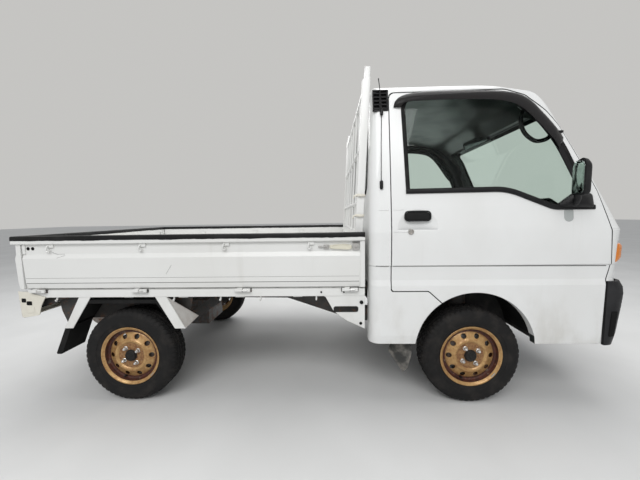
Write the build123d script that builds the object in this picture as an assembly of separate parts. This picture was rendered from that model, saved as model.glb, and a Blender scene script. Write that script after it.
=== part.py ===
"""A kei truck: a small cab-over pickup with drop sides, a guard frame behind the cab and steel wheels.

Millimetres. +X runs forward, +Y to the left, +Z up, and the origin is on the ground under the middle of
the truck. The cab keeps its place on the front axle, the bed reaches back to the rear axle and its
overhang, and every node is moved by MIDDLE_X when it is written, so that the origin stays in the middle.
Right-hand pieces are modelled where they need it and mirrored across the XZ plane.
"""

from build123d import *
import math
import os

os.makedirs("parts", exist_ok=True)

# Overall sizes
HALF_WIDTH = 697.5
WHEELBASE = 1885.0
REAR_OVERHANG = 597.5
FRONT_OVERHANG = 812.5
TRACK = 1210.0
FRONT_AXLE_X = 835.0
FRONT_X = FRONT_AXLE_X + FRONT_OVERHANG
REAR_AXLE_X = FRONT_AXLE_X - WHEELBASE
REAR_X = REAR_AXLE_X - REAR_OVERHANG
MIDDLE_X = (FRONT_X + REAR_X) / 2
WHEEL_Y = TRACK / 2

# Clearances
PIECE_GAP = 5.0
PIN_GAP = 0.3
SEAT_GAP = 0.3

# Tyres and wheels, across the axle from the wheel's middle plane
TYRE_R = 262.0
TYRE_WIDTH = 145.0
BEAD_R = 152.0
RIM_LIP_R = 168.0
RIM_WIDTH = 118.0
HUB_R = 31.0
HUB_BORE_R = 20.0
WHEEL_HOLES = 12
HOLE_CIRCLE_R = 106.0
HOLE_SHORT = 21.0

# Cab body
CAB_REAR_X = 286.0
CAB_REAR_TOP_X = 307.0
CAB_BOTTOM_Z = 345.0
CAB_WALL = 40.0
ROOF_WALL = 30.0
REAR_CORNER_R = 55.0
FRONT_BOW_R = 6000.0
ROOF_Z = 1716.0
ROOF_CROWN = 24.0
BELT_KINK_Z = 940.0

# Doors, seen from the side
DOOR_REAR_X = 400.0
DOOR_SILL_Z = 633.0
DOOR_TOP_Z = 1674.0
DOOR_GAP = 5.0

# Wheel arch of the cab
ARCH_X = 838.0
ARCH_Z = 310.0
ARCH_R = 312.0
HOUSE_R = 345.0
HOUSE_WALL = 6.0
HOUSE_INNER_Y = 380.0

# Load bed
GATE_INNER = 650.0
GATE_REAR_X = REAR_X + 47.5
GATE_BOTTOM_Z = 652.0
GATE_TOP_Z = 943.0
GATE_BASE = 24.0
GATE_RIDGE = 36.0
GATE_RECESS = 27.0
GATE_RAIL = 44.0
GATE_RAIL_HEIGHT = 43.0
GATE_RIDGE_Z = 821.0
GATE_SLOPE_TOP_Z = 845.0
GATE_AXIS = 40.0
HINGE_R = 7.5
HINGE_PIN_R = 3.5
HINGE_Z = 640.0
HINGE_LENGTH = 56.0
BED_FRONT_X = 262.0
FLOOR_FRONT_X = 200.0
BED_FLOOR_Z = 650.0
BED_FLOOR_THICK = 18.0
SILL_TOP_Z = 645.0
SILL_BOTTOM_Z = 603.0
SILL_OUTER = 676.0
SILL_INNER = 645.0

# Ladder frame
RAIL_Y = 330.0
RAIL_WIDTH = 45.0
RAIL_HEIGHT = 90.0
REAR_RAIL_Z = 500.0
FRONT_RAIL_Z = 345.0

# Steering
KINGPIN_FOOT_Y = 525.0
KINGPIN_FOOT_Z = 190.0
KINGPIN_HEAD_Y = 455.0
KINGPIN_HEAD_Z = 615.0
STEERING_ARM = 120.0
RACK_Z = 262.0
RACK_R = 9.0
RACK_REACH = 530.0
WHEEL_LEAN_DEG = 40.0


def along(plane, a, b, off):
    """The point (a, b) of an outline, placed in one of the three main planes at the distance off."""
    return {"xz": Vector(a, off, b), "xy": Vector(a, b, off), "yz": Vector(off, a, b)}[plane]


NORMAL = {"xz": (0, 1, 0), "xy": (0, 0, 1), "yz": (1, 0, 0)}


def outline(plane, corners, off=0.0):
    """A closed face from corners (a, b) or (a, b, radius), each rounded by its radius."""
    edges, ends = [], []
    flat = [(c[0], c[1], c[2] if len(c) > 2 else 0.0) for c in corners]
    count = len(flat)
    for i, (a, b, radius) in enumerate(flat):
        here = Vector(a, b)
        back = Vector(*flat[i - 1][:2]) - here
        ahead = Vector(*flat[(i + 1) % count][:2]) - here
        if radius <= 0:
            ends.append((here, here, None))
            continue
        half = math.radians(back.get_angle(ahead)) / 2
        reach = radius / math.tan(half)
        middle = (back.normalized() + ahead.normalized()).normalized()
        centre = here + middle * (radius / math.sin(half))
        start, stop = here + back.normalized() * reach, here + ahead.normalized() * reach
        ends.append((start, stop, centre - middle * radius))
    for i, (start, stop, top) in enumerate(ends):
        if top is not None:
            points = [along(plane, p.X, p.Y, off) for p in (start, top, stop)]
            edges.append(Edge.make_three_point_arc(*points))
        after = ends[(i + 1) % count][0]
        if (after - stop).length > 1e-6:
            edges.append(Edge.make_line(along(plane, stop.X, stop.Y, off), along(plane, after.X, after.Y, off)))
    return Face(Wire(edges))


def slab(plane, corners, low, high):
    """An outline in a main plane, given thickness from low to high."""
    return extrude(outline(plane, corners, low), amount=high - low, dir=NORMAL[plane])


def block(x, y, z):
    """A box from three (low, high) pairs."""
    size = [high - low for low, high in (x, y, z)]
    middle = [(high + low) / 2 for low, high in (x, y, z)]
    return Pos(*middle) * Box(*size)


def rod(start, stop, radius):
    """A round bar between two points."""
    start, stop = Vector(*start), Vector(*stop)
    base = Plane(origin=start, z_dir=stop - start)
    return base * Cylinder(radius, (stop - start).length, align=(Align.CENTER, Align.CENTER, Align.MIN))


def strip(start, stop, width, thick, flat=(0, 1, 0)):
    """A flat bar between two points: thick along flat, width across it."""
    start, stop = Vector(*start), Vector(*stop)
    run = stop - start
    base = Plane(origin=start, x_dir=Vector(*flat), z_dir=run)
    return base * Box(thick, width, run.length, align=(Align.CENTER, Align.CENTER, Align.MIN))


def ring(plane, a, b, outer, inner, low, high):
    """A tube or, with inner of 0, a disc, about the point (a, b) of a main plane."""
    base = Plane(origin=along(plane, a, b, low), z_dir=NORMAL[plane])
    body = base * Cylinder(outer, high - low, align=(Align.CENTER, Align.CENTER, Align.MIN))
    if inner > 0:
        body -= base * Cylinder(inner, high - low, align=(Align.CENTER, Align.CENTER, Align.MIN))
    return body


def other_side(shape):
    """The same shape on the other side of the truck."""
    return mirror(shape, about=Plane.XZ)


def both_sides(shape):
    return [shape, other_side(shape)]


def joined(shapes):
    whole = shapes[0]
    for shape in shapes[1:]:
        whole = whole + shape
    return whole


def keep(name, *shapes):
    """Writes one node: the solids of the shapes given, joined where they touch."""
    solids = [Pos(-MIDDLE_X, 0, 0) * solid for shape in shapes for solid in shape.solids()]
    export_step(solids[0] if len(solids) == 1 else Compound(children=solids), f"parts/{name}.step")


# Cab body: plan sections stacked by height, then cut to the roof's two profiles


def plan_section(z, rear_x, half_width, front_x, corner_r, rear_r):
    """One level of the cab in plan: flat rear and sides, bowed front, round corners, all tangent."""
    bow_centre_x = front_x - FRONT_BOW_R
    reach = FRONT_BOW_R - corner_r
    corner_y = half_width - corner_r
    corner_x = bow_centre_x + math.sqrt(reach**2 - corner_y**2)
    lean = math.atan2(corner_y, corner_x - bow_centre_x)
    bow_x = bow_centre_x + FRONT_BOW_R * math.cos(lean)
    bow_y = FRONT_BOW_R * math.sin(lean)
    mid = (math.pi / 2 + lean) / 2
    corner_mid = (corner_x + corner_r * math.cos(mid), corner_y + corner_r * math.sin(mid))
    slant = rear_r * (1 - math.sqrt(0.5))
    right = [
        ("line", (rear_x, -(half_width - rear_r)), None),
        ("arc", (rear_x + slant, -(half_width - slant)), (rear_x + rear_r, -half_width)),
        ("line", (corner_x, -half_width), None),
        ("arc", (corner_mid[0], -corner_mid[1]), (bow_x, -bow_y)),
        ("arc", (front_x, 0.0), (bow_x, bow_y)),
        ("arc", corner_mid, (corner_x, half_width)),
        ("line", (rear_x + rear_r, half_width), None),
        ("arc", (rear_x + slant, half_width - slant), (rear_x, half_width - rear_r)),
    ]
    at = Vector(rear_x, half_width - rear_r, z)
    edges = []
    for kind, first, second in right:
        if kind == "line":
            to = Vector(*first, z)
            edges.append(Edge.make_line(at, to))
        else:
            to = Vector(*second, z)
            edges.append(Edge.make_three_point_arc(at, Vector(*first, z), to))
        at = to
    return Face(Wire(edges))


# height, half width, front x on the centre line, front corner radius
CAB_LEVELS = (
    (CAB_BOTTOM_Z, 691.0, 1610.0, 110.0),
    (390.0, 696.5, 1614.0, 110.0),
    (660.0, 696.5, 1618.0, 110.0),
    (690.0, 689.0, 1618.0, 110.0),
    (762.0, 690.0, 1620.0, 110.0),
    (767.0, 696.5, 1620.0, 110.0),
    (BELT_KINK_Z, HALF_WIDTH, 1626.0, 110.0),
    (1212.0, 667.0, 1483.0, 95.0),
    (1504.0, 621.0, 1325.0, 90.0),
    (1760.0, 580.7, 1186.5, 90.0),
)
BELOW = 60.0


def cab_rear_at(z):
    lean = (CAB_REAR_TOP_X - CAB_REAR_X) / (ROOF_Z - BELT_KINK_Z)
    return CAB_REAR_X + max(0.0, z - BELT_KINK_Z) * lean


def cab_body(inset, roof_inset, below=0.0):
    """The cab's outer form, or the same form pulled in by inset all round and roof_inset at the top."""
    levels = [(CAB_LEVELS[0][0] - below, *CAB_LEVELS[0][1:])] + list(CAB_LEVELS[1:]) if below else CAB_LEVELS
    rear_r = max(REAR_CORNER_R - inset, 10.0)
    sections = [
        plan_section(z, cab_rear_at(z) + inset, half - inset, front - inset, max(corner - inset, 15.0), rear_r)
        for z, half, front, corner in levels
    ]
    body = loft(sections, ruled=True)
    top = ROOF_Z - roof_inset
    low = CAB_BOTTOM_Z - 2 * BELOW
    side_profile = [
        (CAB_REAR_X - 60 + inset, low),
        (1760, low),
        (1760, 1150),
        (1400 - roof_inset, 1425 - roof_inset),
        (1150 - roof_inset, top - 58, 150),
        (900, top - 13, 700),
        (560, top + 4, 1500),
        (CAB_REAR_TOP_X - 4 + inset, top - 8, 30),
        (CAB_REAR_X - 5 + inset, BELT_KINK_Z),
    ]
    lean = (HALF_WIDTH - 621.0) / (1504.0 - BELT_KINK_Z)
    foot = HALF_WIDTH + 3 + (BELT_KINK_Z - low) * lean - inset
    head = HALF_WIDTH + 3 - (top - BELT_KINK_Z) * lean - inset
    front_profile = [
        (-foot, low),
        (foot, low),
        (head, top, 70 - roof_inset),
        (0, top + ROOF_CROWN, 2500),
        (-head, top, 70 - roof_inset),
    ]
    body = body & slab("xz", side_profile, -800, 800)
    return body & slab("yz", front_profile, 200, 1800)


def door_profile(grow):
    """The door's outline from the side, grown all round by grow. The arch below is cut apart."""
    g = grow
    return [
        (DOOR_REAR_X - g, DOOR_SILL_Z - g, 14),
        (592 - g * 0.4, DOOR_SILL_Z - g, 20),
        (700 - g * 0.4, 535 - g),
        (1151 - g, CAB_BOTTOM_Z - 30 - g),
        (1477 + g, CAB_BOTTOM_Z - 30 - g),
        (1484 + g, 683),
        (1504 + g, 764 - g * 0.3),
        (1493 + g, 936),
        (1434 + g, 1136),
        (1272 + g * 0.9, 1477 + g * 0.5),
        (1202 + g * 0.8, 1555 + g * 0.6),
        (1100 + g * 0.5, 1640 + g * 0.9, 60),
        (1000, DOOR_TOP_Z + g, 120),
        (DOOR_REAR_X - g, DOOR_TOP_Z - 4 + g, 30),
    ]


def door_window_profile(shrink):
    """The door glass from the side: raked front edge, belt line dipping at the front corner."""
    s = shrink
    return [
        (485 + s, 1153 + s, 12),
        (985, 1157 + s, 300),
        (1215, 1062 + s, 120),
        (1405 - s, 1062 + s, 14),
        (1262 - s, 1405, 600),
        (1150 - s, 1560 - s, 160),
        (1010, 1650 - s, 150),
        (468 + s, 1650 - s, 70),
    ]


def windscreen_profile(shrink):
    s = shrink
    return [
        (-(588 - s), 990 + s, 60),
        (588 - s, 990 + s, 60),
        (508 - s, 1568 - s, 60),
        (-(508 - s), 1568 - s, 60),
    ]


def rear_window_profile(shrink):
    s = shrink
    return [
        (-(540 - s), 1160 + s, 60),
        (540 - s, 1160 + s, 60),
        (500 - s, 1540 - s, 60),
        (-(500 - s), 1540 - s, 60),
    ]


VENT_REAR_X, VENT_FRONT_X = 322.0, 396.0
VENT_LOW_Z, VENT_HIGH_Z = 1576.0, 1690.0
VENT_DEPTH = 12.0
LAMP_LOW_Z, LAMP_HIGH_Z = 800.0, 915.0
LAMP_INNER_Y, LAMP_OUTER_Y = 430.0, 590.0
TURN_LOW_Z, TURN_HIGH_Z = 792.0, 884.0
TURN_OUTER_Y = 690.0
BUMPER_TOP_Z = 677.0
BUMPER_BOTTOM_Z = 340.0
BUMPER_WALL = 14.0
BUMPER_REAR_X = 1492.0

# height, front x on the centre line, of the bumper's outer skin
BUMPER_LEVELS = (
    (BUMPER_BOTTOM_Z, 1606.0),
    (400.0, 1622.0),
    (560.0, 1643.0),
    (610.0, FRONT_X),
    (645.0, 1642.0),
    (BUMPER_TOP_Z, 1622.0),
)


def bumper_form(inset):
    """The bumper's outer form, or the space inside it, before its rear edge is cut."""
    levels = list(BUMPER_LEVELS)
    if inset:
        levels[0] = (levels[0][0] - BELOW, levels[0][1])
    sections = [
        plan_section(z, 1200.0, HALF_WIDTH - inset, front - inset, 70.0 - inset, 30.0)
        for z, front in levels
    ]
    return loft(sections, ruled=True)


CAVITY = cab_body(CAB_WALL, ROOF_WALL, below=BELOW)


def make_cab():
    outer = cab_body(0.0, 0.0)
    shell = outer - CAVITY
    arch = ring("xz", ARCH_X, ARCH_Z, ARCH_R, 0, -900, 900)
    screen = slab("yz", windscreen_profile(0), 1000, 1800)
    back_light = slab("yz", rear_window_profile(0), 200, 420)
    under_deck = block((200, CAB_REAR_X + 2 * CAB_WALL), (-600, 600), (200, SEAT_DECK_Z - FLOOR_WALL))
    shell = shell - arch - screen - back_light - under_deck
    vent_zone = block((VENT_REAR_X, VENT_FRONT_X), (-HALF_WIDTH, -500), (VENT_LOW_Z, VENT_HIGH_Z))
    vent = (cab_body(-2.0, 0.0) - cab_body(VENT_DEPTH, VENT_DEPTH)) & vent_zone
    shell = shell - vent - other_side(vent)
    keep("cab_vents", *both_sides(vent))
    cut = slab("xz", door_profile(DOOR_GAP), -900, -500)
    door_cut = slab("xz", door_profile(0), -900, -500)
    window = slab("xz", door_window_profile(0), -900, -500)
    door = (shell & door_cut) - window
    fixed = shell - cut - other_side(cut)
    front_zone = block((1050, 1800), (-800, 800), (200, BELT_KINK_Z + 5))
    low_zone = block((1050, 1800), (-800, 800), (200, BUMPER_TOP_Z))
    front = fixed & front_zone
    front = (front - low_zone) + ((front & low_zone) & bumper_form(BUMPER_WALL))
    lamp_zone = block((1500, 1800), (-LAMP_OUTER_Y, -LAMP_INNER_Y), (LAMP_LOW_Z, LAMP_HIGH_Z))
    turn_zone = block((1540, 1800), (-TURN_OUTER_Y, -LAMP_OUTER_Y - 6), (TURN_LOW_Z, TURN_HIGH_Z))
    lamp = (cab_body(-3.0, 0.0) - cab_body(25.0, 25.0)) & lamp_zone
    turn = (cab_body(-3.0, 0.0) - cab_body(16.0, 16.0)) & turn_zone
    for piece in (lamp, turn):
        front = front - piece - other_side(piece)
    keep("cab_shell", fixed - front_zone)
    keep("front_panel", front)
    keep("headlamps", *both_sides(lamp))
    keep("front_indicators", *both_sides(turn))
    keep("door_right", door)
    keep("door_left", other_side(door))
    pane = cab_body(10.0, 10.0) - cab_body(15.0, 15.0)
    keep("windscreen", pane & screen)
    keep("rear_window", pane & back_light)
    keep("door_glass_right", pane & window)
    keep("door_glass_left", other_side(pane & window))
    bumper_zone = block((BUMPER_REAR_X, 1800), (-800, 800), (200, BUMPER_TOP_Z))
    keep("front_bumper", (bumper_form(0.0) - bumper_form(BUMPER_WALL)) & bumper_zone)


FLOOR_Z = 450.0
SEAT_DECK_Z = 672.0
FLOOR_WALL = 14.0
HEEL_X = 1010.0
FLOOR_SIDE_Y = 648.0


def make_cab_floor():
    """Seat deck, heel board and foot well in one pressing, with the two wheel houses."""
    inside_rear_x = CAB_REAR_X + CAB_WALL
    deck = block((inside_rear_x, HEEL_X), (-FLOOR_SIDE_Y, FLOOR_SIDE_Y), (SEAT_DECK_Z - FLOOR_WALL, SEAT_DECK_Z))
    heel = block((HEEL_X - FLOOR_WALL, HEEL_X), (-FLOOR_SIDE_Y, FLOOR_SIDE_Y), (FLOOR_Z, SEAT_DECK_Z))
    well = block((HEEL_X - FLOOR_WALL, 1620), (-FLOOR_SIDE_Y + 90, FLOOR_SIDE_Y - 90), (FLOOR_Z - FLOOR_WALL, FLOOR_Z))
    steps = block((HEEL_X - FLOOR_WALL, 1440), (-FLOOR_SIDE_Y, FLOOR_SIDE_Y), (FLOOR_Z - FLOOR_WALL, FLOOR_Z))
    whole = deck + heel + well + steps
    for side in (-1, 1):
        low, high = sorted((side * HOUSE_INNER_Y, side * FLOOR_SIDE_Y))
        dome = ring("xz", ARCH_X, ARCH_Z, HOUSE_R + FLOOR_WALL, 0, low, high)
        dome = dome & block((0, 1800), (-800, 800), (CAB_BOTTOM_Z, SEAT_DECK_Z))
        whole = whole + dome
    for side in (-1, 1):
        low, high = sorted((side * (HOUSE_INNER_Y + FLOOR_WALL), side * (FLOOR_SIDE_Y + 50)))
        whole = whole - ring("xz", ARCH_X, ARCH_Z, HOUSE_R, 0, low, high)
    keep("cab_floor", whole & CAVITY)


def make_splash_guards():
    """Black arch liners inside the wheel houses, with the front and rear mud flaps."""
    low_y, high_y = -(FLOOR_SIDE_Y - 2), -(HOUSE_INNER_Y + FLOOR_WALL)
    liner = ring("xz", ARCH_X, ARCH_Z, HOUSE_R, HOUSE_R - HOUSE_WALL, low_y, high_y)
    liner = liner & block((0, 1800), (-800, 800), (CAB_BOTTOM_Z, 800))
    front_flap = block((482, 488), (-680, -540), (225, CAB_BOTTOM_Z))
    rear_flap = strip((-1330, -600, 500), (-1385, -600, 312), 6, 130, (0, 1, 0))
    keep("splash_guards", *both_sides(liner), *both_sides(front_flap), *both_sides(rear_flap))


def make_interior():
    cushions, backs = [], []
    for low, high in ((-560, -60), (60, 560)):
        cushions.append(slab("xz", [(440, SEAT_DECK_Z), (960, SEAT_DECK_Z), (960, 800, 50), (470, 780, 30)], low, high))
        backs.append(slab("xz", [(400, 765, 20), (500, 765, 20), (440, 1290, 45), (345, 1290, 30)], low, high))
    keep("seats", *[a + b for a, b in zip(cushions, backs)])
    board = slab(
        "xz",
        [(1280, 800, 20), (1480, 740, 20), (1560, 760), (1560, 930), (1480, 985, 20), (1360, 1010, 40), (1250, 960, 30)],
        -600,
        600,
    )
    keep("dashboard", (board & CAVITY) - column())


STEER_Y = -320.0
WHEEL_HUB = (1120.0, 1010.0)
STEERING_WHEEL_R = 185.0
BOSS_DEPTH = 45.0
SHAFT_R = 11.0


def steering_axis():
    lean = math.radians(WHEEL_LEAN_DEG)
    return Vector(-math.cos(lean), 0, math.sin(lean))


def column():
    axis = steering_axis()
    hub = Vector(WHEEL_HUB[0], STEER_Y, WHEEL_HUB[1])
    start = hub - axis * (BOSS_DEPTH + PIECE_GAP)
    foot = hub - axis * 330
    return rod(tuple(start), tuple(foot), 26) + rod(tuple(hub - axis * 20), tuple(foot), SHAFT_R)


def make_steering():
    axis = steering_axis()
    hub = Vector(WHEEL_HUB[0], STEER_Y, WHEEL_HUB[1])
    base = Plane(origin=hub, z_dir=axis)
    rim = base * Torus(STEERING_WHEEL_R, 13)
    boss = rod(tuple(hub - axis * BOSS_DEPTH), tuple(hub + axis * 15), 34)
    spokes = [
        base * (Rot(0, 0, turn) * Pos(STEERING_WHEEL_R / 2, 0, 0) * Box(STEERING_WHEEL_R, 26, 12))
        for turn in (0, 90, 180)
    ]
    bore = rod(tuple(hub - axis * 60), tuple(hub - axis * 15), SHAFT_R + PIN_GAP)
    keep("steering_wheel", joined([rim, boss] + spokes) - bore)
    keep("steering_column", column())


def make_bed():
    side_y = GATE_INNER - PIECE_GAP
    floor_low_z = BED_FLOOR_Z - BED_FLOOR_THICK
    keep("bed_floor", block((GATE_REAR_X + PIECE_GAP, FLOOR_FRONT_X), (-side_y, side_y), (floor_low_z, BED_FLOOR_Z)))
    rear = GATE_REAR_X + PIECE_GAP
    sill = block((rear, BED_FRONT_X), (-SILL_OUTER, -SILL_INNER), (SILL_BOTTOM_Z, SILL_TOP_Z))
    cross = [
        block((x - 25, x + 25), (-SILL_INNER, SILL_INNER), (REAR_RAIL_Z + RAIL_HEIGHT, floor_low_z))
        for x in (-1560, REAR_AXLE_X, -740, -420, -100)
    ]
    cross.append(block((FLOOR_FRONT_X, BED_FRONT_X), (-SILL_INNER, SILL_INNER), (REAR_RAIL_Z + RAIL_HEIGHT, BED_FLOOR_Z)))
    tail = block((rear, rear + 30), (-SILL_OUTER, SILL_OUTER), (SILL_BOTTOM_Z, BED_FLOOR_Z - BED_FLOOR_THICK))
    bracket = slab(
        "xz",
        [(-19, SILL_TOP_Z), (-19, SILL_BOTTOM_Z), (50, SILL_BOTTOM_Z, 20), (95, 520, 60), (160, 470, 40), (BED_FRONT_X, 422), (BED_FRONT_X, SILL_TOP_Z)],
        -SILL_OUTER + 2,
        -SILL_OUTER + 8,
    )
    bracket = bracket - slab("xz", [(95, 512, 12), (228, 512, 12), (228, 546, 12), (95, 546, 12)], -800, -600)
    whole = joined([sill, other_side(sill), tail] + cross + both_sides(bracket))
    keep("bed_frame", whole)


def gate_section(bottom, top):
    """A gate's section: outward from the inner face, and up."""
    return [
        (0, bottom),
        (GATE_BASE, bottom),
        (GATE_BASE + 6, bottom + 34),
        (GATE_RIDGE, GATE_RIDGE_Z),
        (GATE_RECESS, GATE_SLOPE_TOP_Z),
        (GATE_RECESS, top - GATE_RAIL_HEIGHT),
        (GATE_RAIL, top - GATE_RAIL_HEIGHT, 4),
        (GATE_RAIL, top, 8),
        (0, top, 8),
    ]


HINGE_XS = (-1524.0, -956.0, -391.0, 182.0)
TAIL_HINGE_YS = (-520.0, 0.0, 520.0)


def hinge_rod(along_x, out, low, high, radius):
    """A round bar on a gate's pin line, from low to high along it."""
    if along_x:
        return rod((low, out, HINGE_Z), (high, out, HINGE_Z), radius)
    return rod((out, low, HINGE_Z), (out, high, HINGE_Z), radius)


def gate_hinge(centre, along_x, out, gate_reach, bed_reach):
    """One hinge in two pieces: the gate's bored barrel and strap, and the bed's barrel, strap and pin."""
    half = HINGE_LENGTH / 2
    gate_span, bed_span = (centre - half, centre - 1), (centre + 1, centre + half)
    gate_strap_z, bed_strap_z = (GATE_BOTTOM_Z - 5, GATE_BOTTOM_Z), (HINGE_Z - 7, HINGE_Z)
    if along_x:
        gate_strap = block(gate_span, sorted((out, gate_reach)), gate_strap_z)
        bed_strap = block(bed_span, sorted((out, bed_reach)), bed_strap_z)
    else:
        gate_strap = block(sorted((out, gate_reach)), gate_span, gate_strap_z)
        bed_strap = block(sorted((out, bed_reach)), bed_span, bed_strap_z)
    bore = hinge_rod(along_x, out, centre - half - 1, centre, HINGE_PIN_R + PIN_GAP)
    gate_piece = (hinge_rod(along_x, out, *gate_span, HINGE_R) + gate_strap) - bore
    pin = hinge_rod(along_x, out, centre - half, centre + half, HINGE_PIN_R)
    return gate_piece, hinge_rod(along_x, out, *bed_span, HINGE_R) + bed_strap + pin


def make_gates():
    section = gate_section(GATE_BOTTOM_Z, GATE_TOP_Z)
    outward = [(-(GATE_INNER + o[0]), *o[1:]) for o in section]
    side = slab("yz", outward, GATE_REAR_X + PIECE_GAP, BED_FRONT_X)
    side_hinges, tail_hinges = [], []
    for x in HINGE_XS:
        gate_piece, bed_piece = gate_hinge(x, True, -(GATE_INNER + GATE_AXIS), -(GATE_INNER + 18), -SILL_OUTER)
        side = side + gate_piece
        side_hinges.append(bed_piece)
    keep("side_gate_right", side)
    keep("side_gate_left", other_side(side))
    tail_profile = [(GATE_REAR_X - o[0], *o[1:]) for o in section]
    tail = slab("xz", tail_profile, -(GATE_INNER + GATE_RIDGE), GATE_INNER + GATE_RIDGE)
    for y in TAIL_HINGE_YS:
        gate_piece, bed_piece = gate_hinge(y, False, GATE_REAR_X - GATE_AXIS, GATE_REAR_X - 18, GATE_REAR_X + PIECE_GAP)
        tail = tail + gate_piece
        tail_hinges.append(bed_piece)
    keep("tailgate", tail)
    keep("bed_hinges", *side_hinges, *[other_side(s) for s in side_hinges], *tail_hinges)


POST_FOOT_X, POST_HEAD_X = 222.0, 281.0
POST_Y = 632.0
GUARD_TOP_Z = 1797.0


def make_guard():
    """Guard frame behind the cab: leaning posts, a top bar, cross bars and a low front board."""
    def at(z):
        return POST_FOOT_X + (POST_HEAD_X - POST_FOOT_X) * (z - BED_FLOOR_Z) / (GUARD_TOP_Z - BED_FLOOR_Z)

    post = strip((at(BED_FLOOR_Z), -POST_Y + 12, BED_FLOOR_Z), (at(GUARD_TOP_Z), -POST_Y + 12, GUARD_TOP_Z), 34, 24, (0, 1, 0))
    bars = [
        rod((at(z), -POST_Y, z), (at(z), POST_Y, z), 13)
        for z in (1080, 1210, 1340, 1470, 1600, 1735)
    ]
    uprights = [rod((at(930), y, 930), (at(1735), y, 1735), 9) for y in (-210, 210)]
    board = strip((at(BED_FLOOR_Z), 0, BED_FLOOR_Z), (at(GATE_TOP_Z), 0, GATE_TOP_Z), 20, 2 * POST_Y - 10, (0, 1, 0))
    whole = joined([post, other_side(post)] + bars + uprights + [board])
    keep("guard_frame", whole & block((0, BED_FRONT_X + 100), (-700, 700), (BED_FLOOR_Z, 1900)))


def make_frame_rails():
    """Two box rails, stepped up behind the cab, with cross members and a towing eye at each end."""
    rails = []
    top_r = REAR_RAIL_Z + RAIL_HEIGHT
    top_f = FRONT_RAIL_Z + RAIL_HEIGHT
    profile = [
        (REAR_X + 70, REAR_RAIL_Z + 20),
        (-200, REAR_RAIL_Z),
        (250, FRONT_RAIL_Z),
        (1540, FRONT_RAIL_Z),
        (1540, top_f),
        (290, top_f),
        (-150, top_r),
        (REAR_X + 70, top_r),
    ]
    rail = slab("xz", profile, -(RAIL_Y + RAIL_WIDTH / 2), -(RAIL_Y - RAIL_WIDTH / 2))
    members = [
        block((x - w / 2, x + w / 2), (-RAIL_Y, RAIL_Y), (z, z + 50))
        for x, z, w in ((-1540, 525, 60), (-1300, 500, 60), (-620, 520, 60), (-60, 470, 60), (480, 370, 60), (1180, 370, 60), (1510, 370, 60))
    ]
    eyes = []
    for x, z, drop in ((REAR_X + 110, REAR_RAIL_Z + 18, 58), (1500, FRONT_RAIL_Z, 22)):
        tang = block((x - 24, x + 24), (-RAIL_Y - 6, -RAIL_Y + 6), (z - drop - 22, z + 10))
        eyes.append(tang - ring("xz", x, z - drop, 12, 0, -500, 0))
    keep("frame_rails", joined([rail, other_side(rail)] + members + eyes))


def wheel_profiles():
    """Half sections of tyre and rim: radius, and distance outboard of the wheel's middle plane."""
    half = TYRE_WIDTH / 2
    tyre = [
        (BEAD_R + 6, -RIM_WIDTH / 2 + 8.5),
        (RIM_LIP_R, -RIM_WIDTH / 2 + 0.5),
        (TYRE_R - 42, -half, 40),
        (TYRE_R - 4, -half + 14, 12),
        (TYRE_R, -half + 34),
        (TYRE_R, half - 34),
        (TYRE_R - 4, half - 14, 12),
        (TYRE_R - 42, half, 40),
        (RIM_LIP_R, RIM_WIDTH / 2 - 0.5),
        (BEAD_R + 6, RIM_WIDTH / 2 - 8.5),
    ]
    return tyre


def make_wheel(name, x, side):
    tyre = revolve(outline("xy", wheel_profiles()), Axis.Y, 360)
    out = RIM_WIDTH / 2
    rim_profile = [
        (BEAD_R + 6 - SEAT_GAP, -out + 8 + SEAT_GAP),
        (RIM_LIP_R - 5, -out),
        (RIM_LIP_R - 5, -out - 4),
        (BEAD_R - 2, -out + 2),
        (BEAD_R - 2, -10),
        (133, 0),
        (133, out - 24),
        (122, out - 20),
        (86, out - 25),
        (74, out - 8),
        (60, out - 5),
        (52, out - 16),
        (HUB_R, out - 17),
        (HUB_R, out - 12),
        (56, out - 10),
        (60, out),
        (76, out - 2),
        (90, out - 19),
        (122, out - 14),
        (137, out - 20),
        (139, out - 2),
        (BEAD_R, out),
        (RIM_LIP_R, out + 5),
        (RIM_LIP_R, out + 1),
        (BEAD_R + 6 - SEAT_GAP, out - 8 - SEAT_GAP),
    ]
    rim = revolve(outline("xy", rim_profile), Axis.Y, 360)
    hub = revolve(outline("xy", [(HUB_BORE_R + PIN_GAP, -24), (58, -24), (58, out - 19), (HUB_BORE_R + PIN_GAP, out - 19)]), Axis.Y, 360)
    rim = rim + hub + revolve(outline("xy", [(0, out - 19), (HUB_R + 4, out - 19), (HUB_R, out + 2), (0, out + 2)]), Axis.Y, 360)
    for i in range(WHEEL_HOLES):
        turn = i * 360 / WHEEL_HOLES
        hole = Rot(0, turn, 0) * Pos(HOLE_CIRCLE_R, out - 16, 0) * Rot(90, 0, 0) * Cylinder(HOLE_SHORT / 2, 30)
        rim = rim - hole
    place = Pos(x, TRACK / 2, TYRE_R)
    shapes = {"tyre": place * tyre, "rim": place * rim}
    for kind, shape in shapes.items():
        keep(f"{kind}_{name}", shape if side > 0 else other_side(shape))


def kingpin_y(z):
    share = (z - KINGPIN_FOOT_Z) / (KINGPIN_HEAD_Z - KINGPIN_FOOT_Z)
    return KINGPIN_FOOT_Y + (KINGPIN_HEAD_Y - KINGPIN_FOOT_Y) * share


STUB_END_Y = TRACK / 2 + RIM_WIDTH / 2 - 19 - PIECE_GAP
BACKPLATE_Y = TRACK / 2 - 24 - PIECE_GAP


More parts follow.
